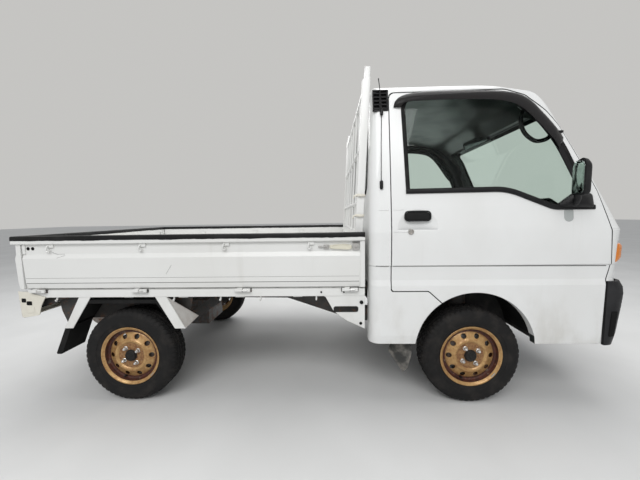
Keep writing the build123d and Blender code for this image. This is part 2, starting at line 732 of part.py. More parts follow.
def make_knuckle(name, side):
    """Hub carrier, stub axle, back plate, strut and spring, which all turn about the kingpin line."""
    x = FRONT_AXLE_X
    carrier = block((x - 32, x + 32), (kingpin_y(TYRE_R) - 14, BACKPLATE_Y - 4), (TYRE_R - 44, TYRE_R + 70))
    plate = ring("xz", x, TYRE_R, 98, 0, BACKPLATE_Y - 5, BACKPLATE_Y)
    stub = rod((x, BACKPLATE_Y - 10, TYRE_R), (x, STUB_END_Y, TYRE_R), HUB_BORE_R)
    strut = rod((x, kingpin_y(300), 300), (x, kingpin_y(600), 600), 22)
    spring = rod((x, kingpin_y(430), 430), (x, kingpin_y(590), 590), 48)
    ball = rod((x, kingpin_y(196), 196), (x, kingpin_y(230), 230), 18)
    arm = block((x - STEERING_ARM - 14, x), (BACKPLATE_Y - 45, BACKPLATE_Y - 20), (TYRE_R - 30, TYRE_R - 14))
    whole = joined([carrier, plate, stub, strut, spring, ball, arm])
    keep(f"knuckle_{name}", whole if side > 0 else other_side(whole))


def make_front_suspension():
    x = FRONT_AXLE_X
    arm = strip((x, RAIL_Y, 305), (x, kingpin_y(160) + 12, 156), 16, 70, (1, 0, 0))
    pivot = block((x - 35, x + 35), (RAIL_Y - 20, RAIL_Y + 20), (290, FRONT_RAIL_Z))
    pin = rod((x, kingpin_y(162), 162), (x, kingpin_y(195.7), 195.7), 8)
    top = ring("xy", x, KINGPIN_HEAD_Y, 60, 0, 604, SEAT_DECK_Z)
    top = top & ring("xz", ARCH_X, ARCH_Z, HOUSE_R - HOUSE_WALL, 0, 0, 800)
    rack_x = x - STEERING_ARM
    tube = ring("xz", rack_x, RACK_Z, 20, RACK_R + PIN_GAP, -RAIL_Y - 12, RAIL_Y + 12)
    hangers = [
        block((rack_x - 18, rack_x + 18), (y - 10, y + 10), (RACK_Z + 12, FRONT_RAIL_Z))
        - ring("xz", rack_x, RACK_Z, RACK_R + PIN_GAP, 0, -400, 400)
        for y in (-RAIL_Y, RAIL_Y)
    ]
    keep("front_suspension", *both_sides(arm + pivot + pin), *both_sides(top), joined([tube] + hangers))


def make_rear_suspension():
    x = REAR_AXLE_X
    carrier = block((x - 40, x + 40), (BACKPLATE_Y - 60, BACKPLATE_Y - 4), (TYRE_R - 60, TYRE_R + 50))
    plate = ring("xz", x, TYRE_R, 98, 0, BACKPLATE_Y - 5, BACKPLATE_Y)
    stub = rod((x, BACKPLATE_Y - 10, TYRE_R), (x, STUB_END_Y, TYRE_R), HUB_BORE_R)
    arm_y = RAIL_Y + RAIL_WIDTH / 2 + 34
    arm = strip((x + 20, 470, TYRE_R), (x + 400, arm_y, REAR_RAIL_Z + 10), 60, 44, (0, 1, 0))
    pivot = rod((x + 390, RAIL_Y + RAIL_WIDTH / 2, REAR_RAIL_Z + 8), (x + 390, arm_y + 30, REAR_RAIL_Z + 8), 20)
    shaft = rod((x, 240, TYRE_R + 30), (x, BACKPLATE_Y - 30, TYRE_R), 14)
    spring = rod((x, 455, TYRE_R + 45), (x, 455, REAR_RAIL_Z + RAIL_HEIGHT), 42)
    whole = joined([carrier, plate, stub, arm, pivot, shaft, spring])
    keep("rear_suspension", *both_sides(whole))


def make_under_bed():
    engine = block((REAR_AXLE_X - 420, REAR_AXLE_X - 60), (-250, 250), (230, 500))
    gearbox = block((REAR_AXLE_X - 60, REAR_AXLE_X + 220), (-130, 130), (240, 420))
    keep("engine_block", engine + gearbox)
    keep("fuel_tank", slab("xz", [(-620, 350, 25), (-180, 350, 25), (-180, 590, 25), (-620, 590, 25)], 375, 600))
    muffler_x = REAR_X + 105
    muffler = rod((muffler_x, -280, 360), (muffler_x, 260, 360), 60)
    tail = rod((muffler_x, 260, 330), (muffler_x, 420, 330), 17)
    pipe = rod((muffler_x, 0, 360), (REAR_AXLE_X - 420, 0, 360), 20)
    keep("exhaust", joined([muffler, tail, pipe]))


def make_bed_trim():
    stays = []
    for top_x, foot_x in ((REAR_AXLE_X - 132, REAR_AXLE_X - 292), (REAR_AXLE_X + 195, REAR_AXLE_X + 339)):
        stays.append(strip((top_x, -665, SILL_BOTTOM_Z), (foot_x, -665, 438), 5, 32, (0, 1, 0)))
    below_sill = block((REAR_X, 0), (-700, 0), (400, SILL_BOTTOM_Z))
    keep("fender_stays", *[p for s in stays for p in both_sides(s & below_sill)])
    x0, x1 = REAR_X + 2, REAR_X + 100
    bracket = slab("xz", [(x0 + 58, 488), (x0 + 130, 505), (x0 + 150, 590), (x0 + 58, 590)], -672, -450)
    lamp = block((x0 + 40, x0 + 58), (-668, -455), (500, 588))
    keep("lamp_brackets", *both_sides(bracket))
    keep("rear_lamps", *both_sides(lamp))


def make_mirrors():
    head = slab("xz", [(1236, 1130, 12), (1302, 1120, 12), (1322, 1215, 20), (1304, 1284, 14), (1258, 1284, 14)], -840, -716)
    arm = slab("xz", [(1285, 1066, 8), (1404, 1066, 8), (1398, 1110, 15), (1310, 1160, 10)], -760, -640)
    (low_z, low_y), (high_z, high_y) = [(z, half) for z, half, _, _ in CAB_LEVELS[6:8]]
    whole = (head + arm) - slab("yz", [(-low_y, low_z), (0, low_z), (0, high_z), (-high_y, high_z)], 1200, 1450)
    keep("mirror_right", whole)
    keep("mirror_left", other_side(whole))


def make_rack():
    x = FRONT_AXLE_X - STEERING_ARM
    keep("steering_rack", rod((x, -RACK_REACH, RACK_Z), (x, RACK_REACH, RACK_Z), RACK_R))


make_cab()
make_cab_floor()
make_splash_guards()
make_interior()
make_steering()
make_bed()
make_gates()
make_guard()
make_frame_rails()
for wheel, place_x, wheel_side in (
    ("front_right", FRONT_AXLE_X, -1),
    ("front_left", FRONT_AXLE_X, 1),
    ("rear_right", REAR_AXLE_X, -1),
    ("rear_left", REAR_AXLE_X, 1),
):
    make_wheel(wheel, place_x, wheel_side)
make_knuckle("right", -1)
make_knuckle("left", 1)
make_front_suspension()
make_rear_suspension()
make_under_bed()
make_bed_trim()
make_mirrors()
make_rack()
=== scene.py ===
"""The looks of a kei truck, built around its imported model.

Metres. +X runs forward, +Y to the left, +Z up. The right side, at -Y, faces the camera. Pieces that exist on
both sides are made for the right side and mirrored across the XZ plane.
"""

import math
from functools import partial

import bmesh
import bpy
from mathutils import Matrix, Vector, noise
from mathutils.bvhtree import BVHTree


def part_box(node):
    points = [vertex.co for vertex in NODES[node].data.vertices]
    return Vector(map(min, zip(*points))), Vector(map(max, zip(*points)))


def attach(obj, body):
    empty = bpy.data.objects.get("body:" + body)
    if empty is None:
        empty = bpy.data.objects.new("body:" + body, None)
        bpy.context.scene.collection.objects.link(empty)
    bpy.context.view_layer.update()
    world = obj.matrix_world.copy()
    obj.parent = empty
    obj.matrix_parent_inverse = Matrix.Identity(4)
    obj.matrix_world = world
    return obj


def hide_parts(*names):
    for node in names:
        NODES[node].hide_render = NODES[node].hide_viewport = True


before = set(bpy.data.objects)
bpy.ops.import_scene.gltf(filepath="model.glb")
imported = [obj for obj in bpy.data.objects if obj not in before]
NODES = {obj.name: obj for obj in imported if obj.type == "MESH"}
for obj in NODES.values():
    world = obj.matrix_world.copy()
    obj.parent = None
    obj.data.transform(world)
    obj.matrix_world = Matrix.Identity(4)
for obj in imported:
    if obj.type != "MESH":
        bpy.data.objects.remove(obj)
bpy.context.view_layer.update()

# Camera, fitted to the photograph: place, turn, and lens on a 36 mm sensor
CAMERA_AT = (0.0744, -2.141, 1.0287)
CAMERA_RIGHT = (0.99941669, 0.03086879, -0.01460797)
CAMERA_UP = (0.01194386, 0.08479166, 0.99632711)
CAMERA_LENS = 15.71
SENSOR = 36.0

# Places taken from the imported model
REAR_AXLE = sum(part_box("tyre_rear_right"), Vector()) / 2
FRONT_AXLE = sum(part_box("tyre_front_right"), Vector()) / 2
TYRE_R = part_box("tyre_rear_right")[1].z / 2
TRACK_Y = abs(REAR_AXLE.y)
SIDES = (("right", -1), ("left", 1))
WHEELS = [
    (f"{end}_{side}", axle.x, hand)
    for end, axle in (("front", FRONT_AXLE), ("rear", REAR_AXLE)) for side, hand in SIDES
]


# Materials

WHITE = (0.78, 0.785, 0.775)
ROAD_DIRT = (0.4, 0.37, 0.31)
CAB_CENTRE = (0.95, 0.0, 1.15)
# Near-black lining of the cab's inside, darkened further as painted shade of the interior.
SHADED_LINING = (0.026, 0.031, 0.029)


class Look:
    """One procedural material: a Principled shader and short helpers for its node tree."""

    def __init__(self, name, colour, rough, metal=0.0, **sockets):
        self.material = bpy.data.materials.new(name)
        self.material.use_nodes = True
        self.tree = self.material.node_tree
        self.inputs = self.tree.nodes["Principled BSDF"].inputs
        self.base = colour
        sockets.update(Base_Color=(*colour, 1.0), Roughness=rough, Metallic=metal)
        for socket, value in sockets.items():
            self.inputs[socket.replace("_", " ")].default_value = value
        self.place = self.node("ShaderNodeTexCoord").outputs["Object"]

    def node(self, kind, **settings):
        made = self.tree.nodes.new(kind)
        for key, value in settings.items():
            setattr(made, key, value)
        return made

    def feed(self, socket, value):
        """Links an output to a socket, or sets a plain value there."""
        if isinstance(value, bpy.types.NodeSocket):
            self.tree.links.new(value, socket)
        elif isinstance(value, tuple) and socket.type == "RGBA":
            socket.default_value = (*value, 1.0)
        else:
            socket.default_value = value

    def noise(self, scale, detail=3.0, stretch=(1, 1, 1), rough=0.55, offset=0.0):
        mapping = self.node("ShaderNodeMapping")
        made = self.node("ShaderNodeTexNoise")
        for socket, value in (
            (mapping.inputs["Vector"], self.place), (mapping.inputs["Scale"], stretch),
            (mapping.inputs["Location"], (offset, offset * 0.7, offset * 0.3)),
            (made.inputs["Vector"], mapping.outputs["Vector"]), (made.inputs["Scale"], scale),
            (made.inputs["Detail"], detail), (made.inputs["Roughness"], rough),
        ):
            self.feed(socket, value)
        return made.outputs["Fac"]

    def spread(self, value, low, high, to=(0.0, 1.0)):
        """Stretches low..high to a range, held at the ends."""
        made = self.node("ShaderNodeMapRange", interpolation_type="SMOOTHSTEP")
        names = ("Value", "From Min", "From Max", "To Min", "To Max")
        for socket, number in zip(names, (value, low, high, *to)):
            self.feed(made.inputs[socket], number)
        return made.outputs["Result"]

    def patches(self, low, high, *grain, to=(0.0, 1.0), **how):
        """A noise stretched between two of its levels."""
        return self.spread(self.noise(*grain, **how), low, high, to)

    def math(self, operation, first, second=0.0):
        made = self.node("ShaderNodeMath", operation=operation)
        self.feed(made.inputs[0], first)
        self.feed(made.inputs[1], second)
        return made.outputs[0]

    def wave(self, direction, scale):
        made = self.node("ShaderNodeTexWave", bands_direction=direction)
        self.feed(made.inputs["Vector"], self.place)
        made.inputs["Scale"].default_value = scale
        return made.outputs["Fac"]

    def cover(self, colour, amount, *masks):
        """Lays a colour over the base colour by an amount and its masks, and gives that share."""
        share = masks[0]
        for more in masks[1:]:
            share = self.math("MULTIPLY", share, more)
        if amount != 1.0:
            share = self.math("MULTIPLY", share, amount)
        made = self.node("ShaderNodeMix", data_type="RGBA")
        for socket, value in (("Factor", share), (6, self.base), (7, colour)):
            self.feed(made.inputs[socket], value)
        self.base = made.outputs[2]
        self.feed(self.inputs["Base Color"], self.base)
        return share

    def roughness(self, value):
        self.feed(self.inputs["Roughness"], value)

    def relief(self, *heights, soften=0.0):
        """Bump from (height, strength, distance) layers, over edges softened by a radius."""
        normal = None
        if soften:
            edge = self.node("ShaderNodeBevel", samples=4)
            edge.inputs["Radius"].default_value = soften
            normal = edge.outputs["Normal"]
        for height, strength, distance in heights:
            made = self.node("ShaderNodeBump")
            for socket, value in (("Strength", strength), ("Distance", distance), ("Height", height)):
                self.feed(made.inputs[socket], value)
            if normal is not None:
                self.feed(made.inputs["Normal"], normal)
            normal = made.outputs["Normal"]
        self.feed(self.inputs["Normal"], normal)
        return self.material


def painted(name, colour, dirt, rust=0.0, grime=0.35, scuffs=0.0, rough=0.28, inside=None):
    """Body paint: gloss with faint waves, road grime low down, streaks, scuffs and rust specks."""
    look = Look(name, colour, rough, Coat_Weight=0.35, Coat_Roughness=0.12)
    look.cover(dirt, 0.1, look.patches(0.42, 0.75, 2.2, 4.0, (1, 1, 0.6)))
    split = look.node("ShaderNodeSeparateXYZ")
    look.feed(split.inputs[0], look.place)
    low_down = look.spread(split.outputs["Z"], 0.75, 0.33)
    look.cover(dirt, grime, low_down, look.patches(0.4, 0.72, 9.0, 6.0, (1, 1, 0.45)))
    look.cover(dirt, 0.16, look.patches(0.6, 0.82, 14.0, 5.0, (1, 1, 0.06), offset=3.0))
    if scuffs:
        scratch = look.patches(0.7, 0.76, 38.0, 3.0, (0.05, 1, 1.0), offset=5.0)
        look.cover((0.25, 0.24, 0.22), scuffs, scratch, look.patches(0.5, 0.62, 3.0, 2.0, offset=8.0))
    if rust:
        speck = look.patches(0.7, 0.76, 55.0, 6.0, rough=0.7, offset=1.3)
        look.cover((0.3, 0.13, 0.05), rust, speck, look.patches(0.56, 0.68, 4.0, 3.0, offset=2.1))
    # Faces turned in towards the cab's middle take the lining colour, with the interior's painted shade in
    # it.
    if inside:
        geometry = look.node("ShaderNodeNewGeometry")
        away = look.node("ShaderNodeVectorMath", operation="SUBTRACT")
        look.feed(away.inputs[0], geometry.outputs["Position"])
        away.inputs[1].default_value = CAB_CENTRE
        turned = look.node("ShaderNodeVectorMath", operation="DOT_PRODUCT")
        look.feed(turned.inputs[0], away.outputs[0])
        look.feed(turned.inputs[1], geometry.outputs["True Normal"])
        look.cover(inside, 1.0, look.math("LESS_THAN", turned.outputs["Value"], 0.0))
    look.roughness(look.patches(0.35, 0.7, 6.0, 4.0, offset=4.0, to=(rough, rough + 0.16)))
    wave, peel = look.noise(3.2, 2.0, offset=6.0), look.noise(420.0, 2.0)
    return look.relief((wave, 0.25, 0.004), (peel, 0.04, 0.0006), soften=0.004)


def plastic(name, colour, rough=0.45, grain=0.25):
    """Moulded plastic with a fine grain, faded in patches."""
    look = Look(name, colour, rough, Specular_IOR_Level=0.22)
    look.cover((0.22, 0.22, 0.22), 0.07, look.patches(0.45, 0.8, 5.0, 4.0))
    look.roughness(look.patches(0.3, 0.7, 11.0, 3.0, offset=2.0, to=(rough - 0.05, rough + 0.15)))
    return look.relief((look.noise(900.0, 2.0), grain, 0.0004), soften=0.003)


def rubber(name, colour, dust, rough=0.75, dusty=0.5):
    look = Look(name, colour, rough, Specular_IOR_Level=0.18)
    look.cover(dust, dusty, look.patches(0.42, 0.75, 16.0, 5.0))
    return look.relief((look.noise(260.0, 4.0), 0.3, 0.0008))


def bare_metal(name, colour, rough, rust=0.0):
    look = Look(name, colour, rough, 1.0)
    look.cover(tuple(c * 0.72 for c in colour), 1.0, look.patches(0.3, 0.7, 60.0, 4.0))
    if rust:
        share = look.cover((0.2, 0.085, 0.035), rust, look.patches(0.45, 0.62, 22.0, 6.0, rough=0.7))
        look.feed(look.inputs["Metallic"], look.math("SUBTRACT", 1.0, share))
        look.roughness(look.math("ADD", look.math("MULTIPLY", share, 0.45), rough))
    return look.relief((look.noise(300.0, 3.0), 0.15, 0.0005), soften=0.0015)


def chassis_paint():
    """Black underbody paint that rusts and gathers road dust."""
    look = Look("black_chassis", (0.035, 0.034, 0.033), 0.6)
    look.cover((0.13, 0.115, 0.1), 0.35, look.patches(0.4, 0.75, 7.0, 5.0))
    look.cover((0.16, 0.065, 0.028), 0.55, look.patches(0.52, 0.66, 24.0, 7.0, rough=0.68, offset=1.0))
    return look.relief((look.noise(120.0, 5.0), 0.35, 0.0015), soften=0.003)


def gold_wheel():
    """Bronze-gold wheel paint, thin and sandy, with rust blooms, and painted shade in dark rust-brown
    deepening its grooves and the hollows round the hub.
    """
    look = Look("gold_wheel", (0.5, 0.31, 0.125), 0.36, 0.35, Coat_Weight=0.2, Coat_Roughness=0.25)
    look.cover((0.33, 0.175, 0.06), 1.0, look.patches(0.35, 0.72, 34.0, 5.0, rough=0.65))
    bloom = look.patches(0.5, 0.64, 48.0, 7.0, rough=0.7, offset=4.0)
    shade = look.node("ShaderNodeAmbientOcclusion", samples=6)
    shade.inputs["Distance"].default_value = 0.035
    look.cover((0.3, 0.13, 0.045), 0.55, bloom)
    # Painted shade: ambient occlusion darkens the paint in hollows to a dark rust-brown.
    look.cover((0.085, 0.018, 0.01), 1.0, look.spread(shade.outputs["AO"], 0.8, 0.35))
    look.roughness(look.math("ADD", look.math("MULTIPLY", bloom, 0.35), 0.32))
    return look.relief((look.noise(160.0, 5.0), 0.25, 0.001), soften=0.0015)


def rusted_and_shaded_gold(name, colour, rust, share):
    """Wheel paint that rust has half covered; for the rim's groove its near-black colour is painted shade."""
    look = Look(name, colour, 0.55, 0.25)
    look.cover(rust, share, look.patches(0.4, 0.6, 62.0, 7.0, rough=0.72, offset=2.0))
    look.cover((0.34, 0.28, 0.21), 0.35, look.patches(0.62, 0.72, 38.0, 4.0, offset=7.0))
    return look.relief((look.noise(190.0, 6.0), 0.45, 0.0012))


def glass(name, colour, alpha, rough=0.02, film=0.07):
    """A tinted pane that light passes through, its shade weighted by alpha, with a faint uneven film."""
    look = Look(name, colour, rough, IOR=1.2, Transmission_Weight=1.0 if alpha == 1.0 else 0.0, Alpha=alpha)
    look.roughness(look.patches(0.4, 0.8, 3.5, 5.0, offset=2.0, to=(rough, rough + film)))
    return look.material


def lens(name, colour, transmission, ribs):
    look = Look(name, colour, 0.08, Transmission_Weight=transmission, IOR=1.49, Coat_Weight=0.5)
    return look.relief((look.wave("Y", ribs), 0.6, 0.002))


def woven(name, colour, thread):
    """Seat cloth: a fine weave with colour flecks and soft sheen."""
    look = Look(name, colour, 0.9, Sheen_Weight=0.35)
    look.cover(thread, 1.0, look.patches(0.45, 0.62, 315.0, 2.0))
    look.cover((0.3, 0.29, 0.27), 0.3, look.patches(0.45, 0.8, 5.0, 4.0))
    weave = [look.wave(direction, 270.0) for direction in "XY"]
    return look.relief((look.math("MULTIPLY", *weave), 0.5, 0.0008), (look.noise(40.0, 3.0), 0.25, 0.002))


def stage_floor():
    """Pale floor with the faintest mottling."""
    look = Look("stage_floor", (0.6, 0.6, 0.59), 0.75)
    look.cover((0.65, 0.65, 0.64), 1.0, look.patches(0.3, 0.7, 1.2, 3.0))
    return look.material


LOOKS = {
    "body": painted("body_white", WHITE, ROAD_DIRT, rust=0.5, inside=SHADED_LINING),
    "gate": painted("gate_white", (0.75, 0.75, 0.73), ROAD_DIRT, rust=0.7, scuffs=0.75, rough=0.34),
    "frame_white": painted("guard_white", (0.76, 0.76, 0.74), ROAD_DIRT, rust=0.9, rough=0.36),
    "bed": painted("bed_worn", (0.6, 0.6, 0.58), (0.33, 0.3, 0.26), rust=1.0, scuffs=1.0, rough=0.5),
    "cream": painted("cream_paint", (0.72, 0.69, 0.6), (0.36, 0.32, 0.25), rust=0.9, grime=0.6, rough=0.4),
    "black": plastic("black_plastic", (0.01, 0.01, 0.011)),
    "dash": plastic("dash_plastic", (0.03, 0.033, 0.034), 0.55, 0.5),
    # Door cards and belts in the lining colour, which holds the interior's painted shade.
    "trim": plastic("shaded_lining_trim", SHADED_LINING, 0.6, 0.6),
    "tape": plastic("black_tape", (0.006, 0.006, 0.0065), 0.42, 0.1),
    "bumper": plastic("bumper_plastic", (0.013, 0.013, 0.0145), 0.42, 0.5),
    "visor": glass("smoked_visor", (0.026, 0.025, 0.025), 0.9, 0.12),
    "rubber": rubber("black_rubber", (0.009, 0.009, 0.009), (0.03, 0.028, 0.026)),
    "tyre": rubber("tyre_rubber", (0.0125, 0.012, 0.012), (0.04, 0.035, 0.031), 0.7, 0.45),
    "mat": rubber("floor_mat", (0.03, 0.03, 0.03), (0.1, 0.09, 0.08)),
    "steel": bare_metal("plain_steel", (0.55, 0.54, 0.52), 0.35, 0.25),
    "bright": bare_metal("bright_zinc", (0.78, 0.78, 0.77), 0.25, 0.1),
    "rusty": bare_metal("rusty_steel", (0.3, 0.27, 0.25), 0.5, 0.85),
    "cast": bare_metal("cast_iron", (0.22, 0.22, 0.22), 0.55, 0.5),
    "chassis": chassis_paint(),
    "gold": gold_wheel(),
    # Painted shade: the groove inside the rim's lip, near black-brown with rust patches.
    "groove": rusted_and_shaded_gold("wheel_groove_shade", (0.085, 0.022, 0.012), (0.03, 0.012, 0.009), 0.8),
    "hub_face": rusted_and_shaded_gold("wheel_hub_face", (0.34, 0.19, 0.075), (0.16, 0.062, 0.026), 0.85),
    "glass": glass("green_glass", (0.87, 0.955, 0.915), 1.0, 0.0, 0.012),
    "mirror": bare_metal("mirror_glass", (0.52, 0.6, 0.57), 0.1),
    "clear": lens("clear_lens", (0.95, 0.96, 0.95), 0.75, 26.0),
    "orange": lens("orange_lens", (0.95, 0.3, 0.03), 0.35, 40.0),
    "red": lens("red_lens", (0.62, 0.02, 0.02), 0.35, 40.0),
    "cloth": woven("seat_cloth", (0.1, 0.11, 0.12), (0.2, 0.21, 0.22)),
    "vinyl": plastic("seat_vinyl", (0.07, 0.075, 0.08), 0.5, 0.6),
    # Painted shade of the side's crease; also the colour of the side gate's real scratches.
    "crease": plastic("crease_shade_and_scratch", (0.1, 0.1, 0.097), 0.7, 0.1),
    # Dark joints on the cab's front; on the side gate also painted shade in its pressed grooves.
    "seam": plastic("dark_seam_and_groove_shade", (0.1, 0.1, 0.095), 0.7, 0.1),
    "latch": painted("latch_cream", (0.7, 0.67, 0.55), ROAD_DIRT, rust=1.0, rough=0.45),
    "worn": painted("worn_steel", (0.42, 0.41, 0.39), (0.16, 0.12, 0.09), rust=1.0, grime=0.9, rough=0.6),
    "flap": rubber("dusty_flap", (0.05, 0.05, 0.048), (0.3, 0.28, 0.25), 0.9, 0.9),
    "patch": plastic("grey_patch", (0.42, 0.44, 0.43), 0.4, 0.1),
    "chrome": bare_metal("lamp_chrome", (0.9, 0.9, 0.9), 0.08),
    "hub": plastic("hub_black", (0.015, 0.014, 0.013), 0.45, 0.4),
    "dial": plastic("dial_face", (0.02, 0.02, 0.02), 0.2, 0.1),
    "silver_dim": bare_metal("inner_mirror_silver", (0.3, 0.34, 0.33), 0.12),
    # Near black: the colour of bolts and plugs, and painted shade in hollows, pockets and holes.
    "dark": plastic("black_bolts_and_hollow_shade", (0.006, 0.006, 0.006), 0.9, 0.1),
    "plate": painted("plate_white", (0.8, 0.8, 0.76), ROAD_DIRT, rough=0.35),
}

# Look to CAD nodes; a name with * stands for its right and left, or for all four wheels
NODE_LOOKS = {
    "body": "cab_shell front_panel door_*", "black": "cab_vents steering_wheel mirror_*", "bed": "bed_floor",
    "frame_white": "bed_frame guard_frame fender_stays", "gate": "side_gate_* tailgate",
    "cream": "lamp_brackets", "red": "rear_lamps", "clear": "headlamps", "orange": "front_indicators",
    "bumper": "front_bumper", "rubber": "splash_guards", "dash": "dashboard steering_column",
    "cloth": "seats", "bright": "bed_hinges", "mat": "cab_floor", "steel": "steering_rack",
    "glass": "windscreen rear_window door_glass_*", "cast": "engine_block", "rusty": "exhaust",
    "chassis": "frame_rails front_suspension rear_suspension knuckle_* fuel_tank", "gold": "rim_*",
    "tyre": "tyre_*",
}


def dress_nodes():
    ends = {"rim_*": [w[0] for w in WHEELS], "tyre_*": [w[0] for w in WHEELS]}
    for look, names in NODE_LOOKS.items():
        for name in names.split():
            for end in ends.get(name, ("right", "left")) if "*" in name else ("",):
                mesh = NODES[name.replace("*", end)].data
                mesh.materials.clear()
                mesh.materials.append(LOOKS[look])


# Shapes


def rounded(corners, steps=5):
    """Corners (a, b) or (a, b, radius) of a closed outline, as points with each radius turned into an arc."""
    points = []
    count = len(corners)
    for i, corner in enumerate(corners):
        here = Vector(corner[:2])
        radius = corner[2] if len(corner) > 2 else 0.0
        if radius <= 0:
            points.append((here.x, here.y))
            continue
        back = (Vector(corners[i - 1][:2]) - here).normalized()
        ahead = (Vector(corners[(i + 1) % count][:2]) - here).normalized()
        half = back.angle(ahead) / 2
        reach = radius / math.tan(half)
        centre = here + (back + ahead).normalized() * (radius / math.sin(half))
        start, stop = here + back * reach - centre, here + ahead * reach - centre
        turn = start.angle_signed(stop)
        for step in range(steps + 1):
            spoke = start.copy()
            spoke.rotate(Matrix.Rotation(-turn * step / steps, 2))
            points.append((centre.x + spoke.x, centre.y + spoke.y))
    return points


def rect(low_a, high_a, low_b, high_b, corner=0.0):
    return [(a, b, corner) for a, b in ((low_a, low_b), (high_a, low_b), (high_a, high_b), (low_a, high_b))]


def along(points, pitch, closed=False):
    """Points at an even pitch on a line of straight runs."""
    line = [Vector(p) for p in points]
    if closed:
        line.append(line[0])
    lengths = [(b - a).length for a, b in zip(line, line[1:])]
    count = max(2, round(sum(lengths) / pitch))
    places, walked, leg = [], 0.0, 0
    for i in range(count if closed else count + 1):
        goal = sum(lengths) * i / count
        while leg < len(lengths) - 1 and walked + lengths[leg] < goal:
            walked += lengths[leg]
            leg += 1
        share = (goal - walked) / max(lengths[leg], 1e-9)
        places.append(line[leg].lerp(line[leg + 1], min(share, 1.0)))
    return places


def curved(points, steps=6):
    """A smooth line through a few points."""
    line = [Vector(p) for p in points]
    line = [line[0] * 2 - line[1]] + line + [line[-1] * 2 - line[-2]]
    smooth = []
    for a, b, c, d in zip(line, line[1:], line[2:], line[3:]):
        square, cube = 2 * a - 5 * b + 4 * c - d, 3 * b - a - 3 * c + d
        for t in (step / steps for step in range(steps)):
            smooth.append(0.5 * (2 * b + (c - a) * t + square * t * t + cube * t**3))
    return smooth + [line[-2]]


def walk(line, closed):
    """Goes along a line: how far (0 to 1), the point, and which way the line runs there."""
    last = len(line) - 1
    for i, here in enumerate(line):
        before = line[i - 1] if i or closed else here
        after = line[(i + 1) % len(line)] if i < last or closed else here
        yield i / max(last, 1), here, (after - before).normalized()


def levels_at(table, z):
    """A value read between the rows (z, value) of a table, held at its ends."""
    for (low_z, low), (high_z, high) in zip(table, table[1:]):
        if z <= high_z:
            return low + (high - low) * (max(z, low_z) - low_z) / (high_z - low_z)
    return table[-1][1]


def dressed(name, data, body, look, angle, bevel=0.0, zones=(), replaces=()):
    """Links a mesh as a piece: shaded smooth up to an angle, with its look and body."""
    data.materials.clear()
    data.materials.append(LOOKS[look])
    for number, (other, test) in enumerate(zones, 1):
        data.materials.append(LOOKS[other])
        for face in data.polygons:
            if test(face.center):
                face.material_index = number
    data.shade_smooth()
    data.set_sharp_from_angle(angle=math.radians(angle))
    made = bpy.data.objects.new(name, data)
    bpy.context.scene.collection.objects.link(made)
    if bevel:
        edge = made.modifiers.new("edge", "BEVEL")
        edge.width, edge.segments, edge.limit_method = bevel, 2, "ANGLE"
        edge.angle_limit = math.radians(38)
    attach(made, body)
    if replaces:
        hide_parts(*replaces)
    return made


PLACED = {
    "xz": lambda a, b, off: (a, off, b),
    "xy": lambda a, b, off: (a, b, off),
    "yz": lambda a, b, off: (off, a, b),
}


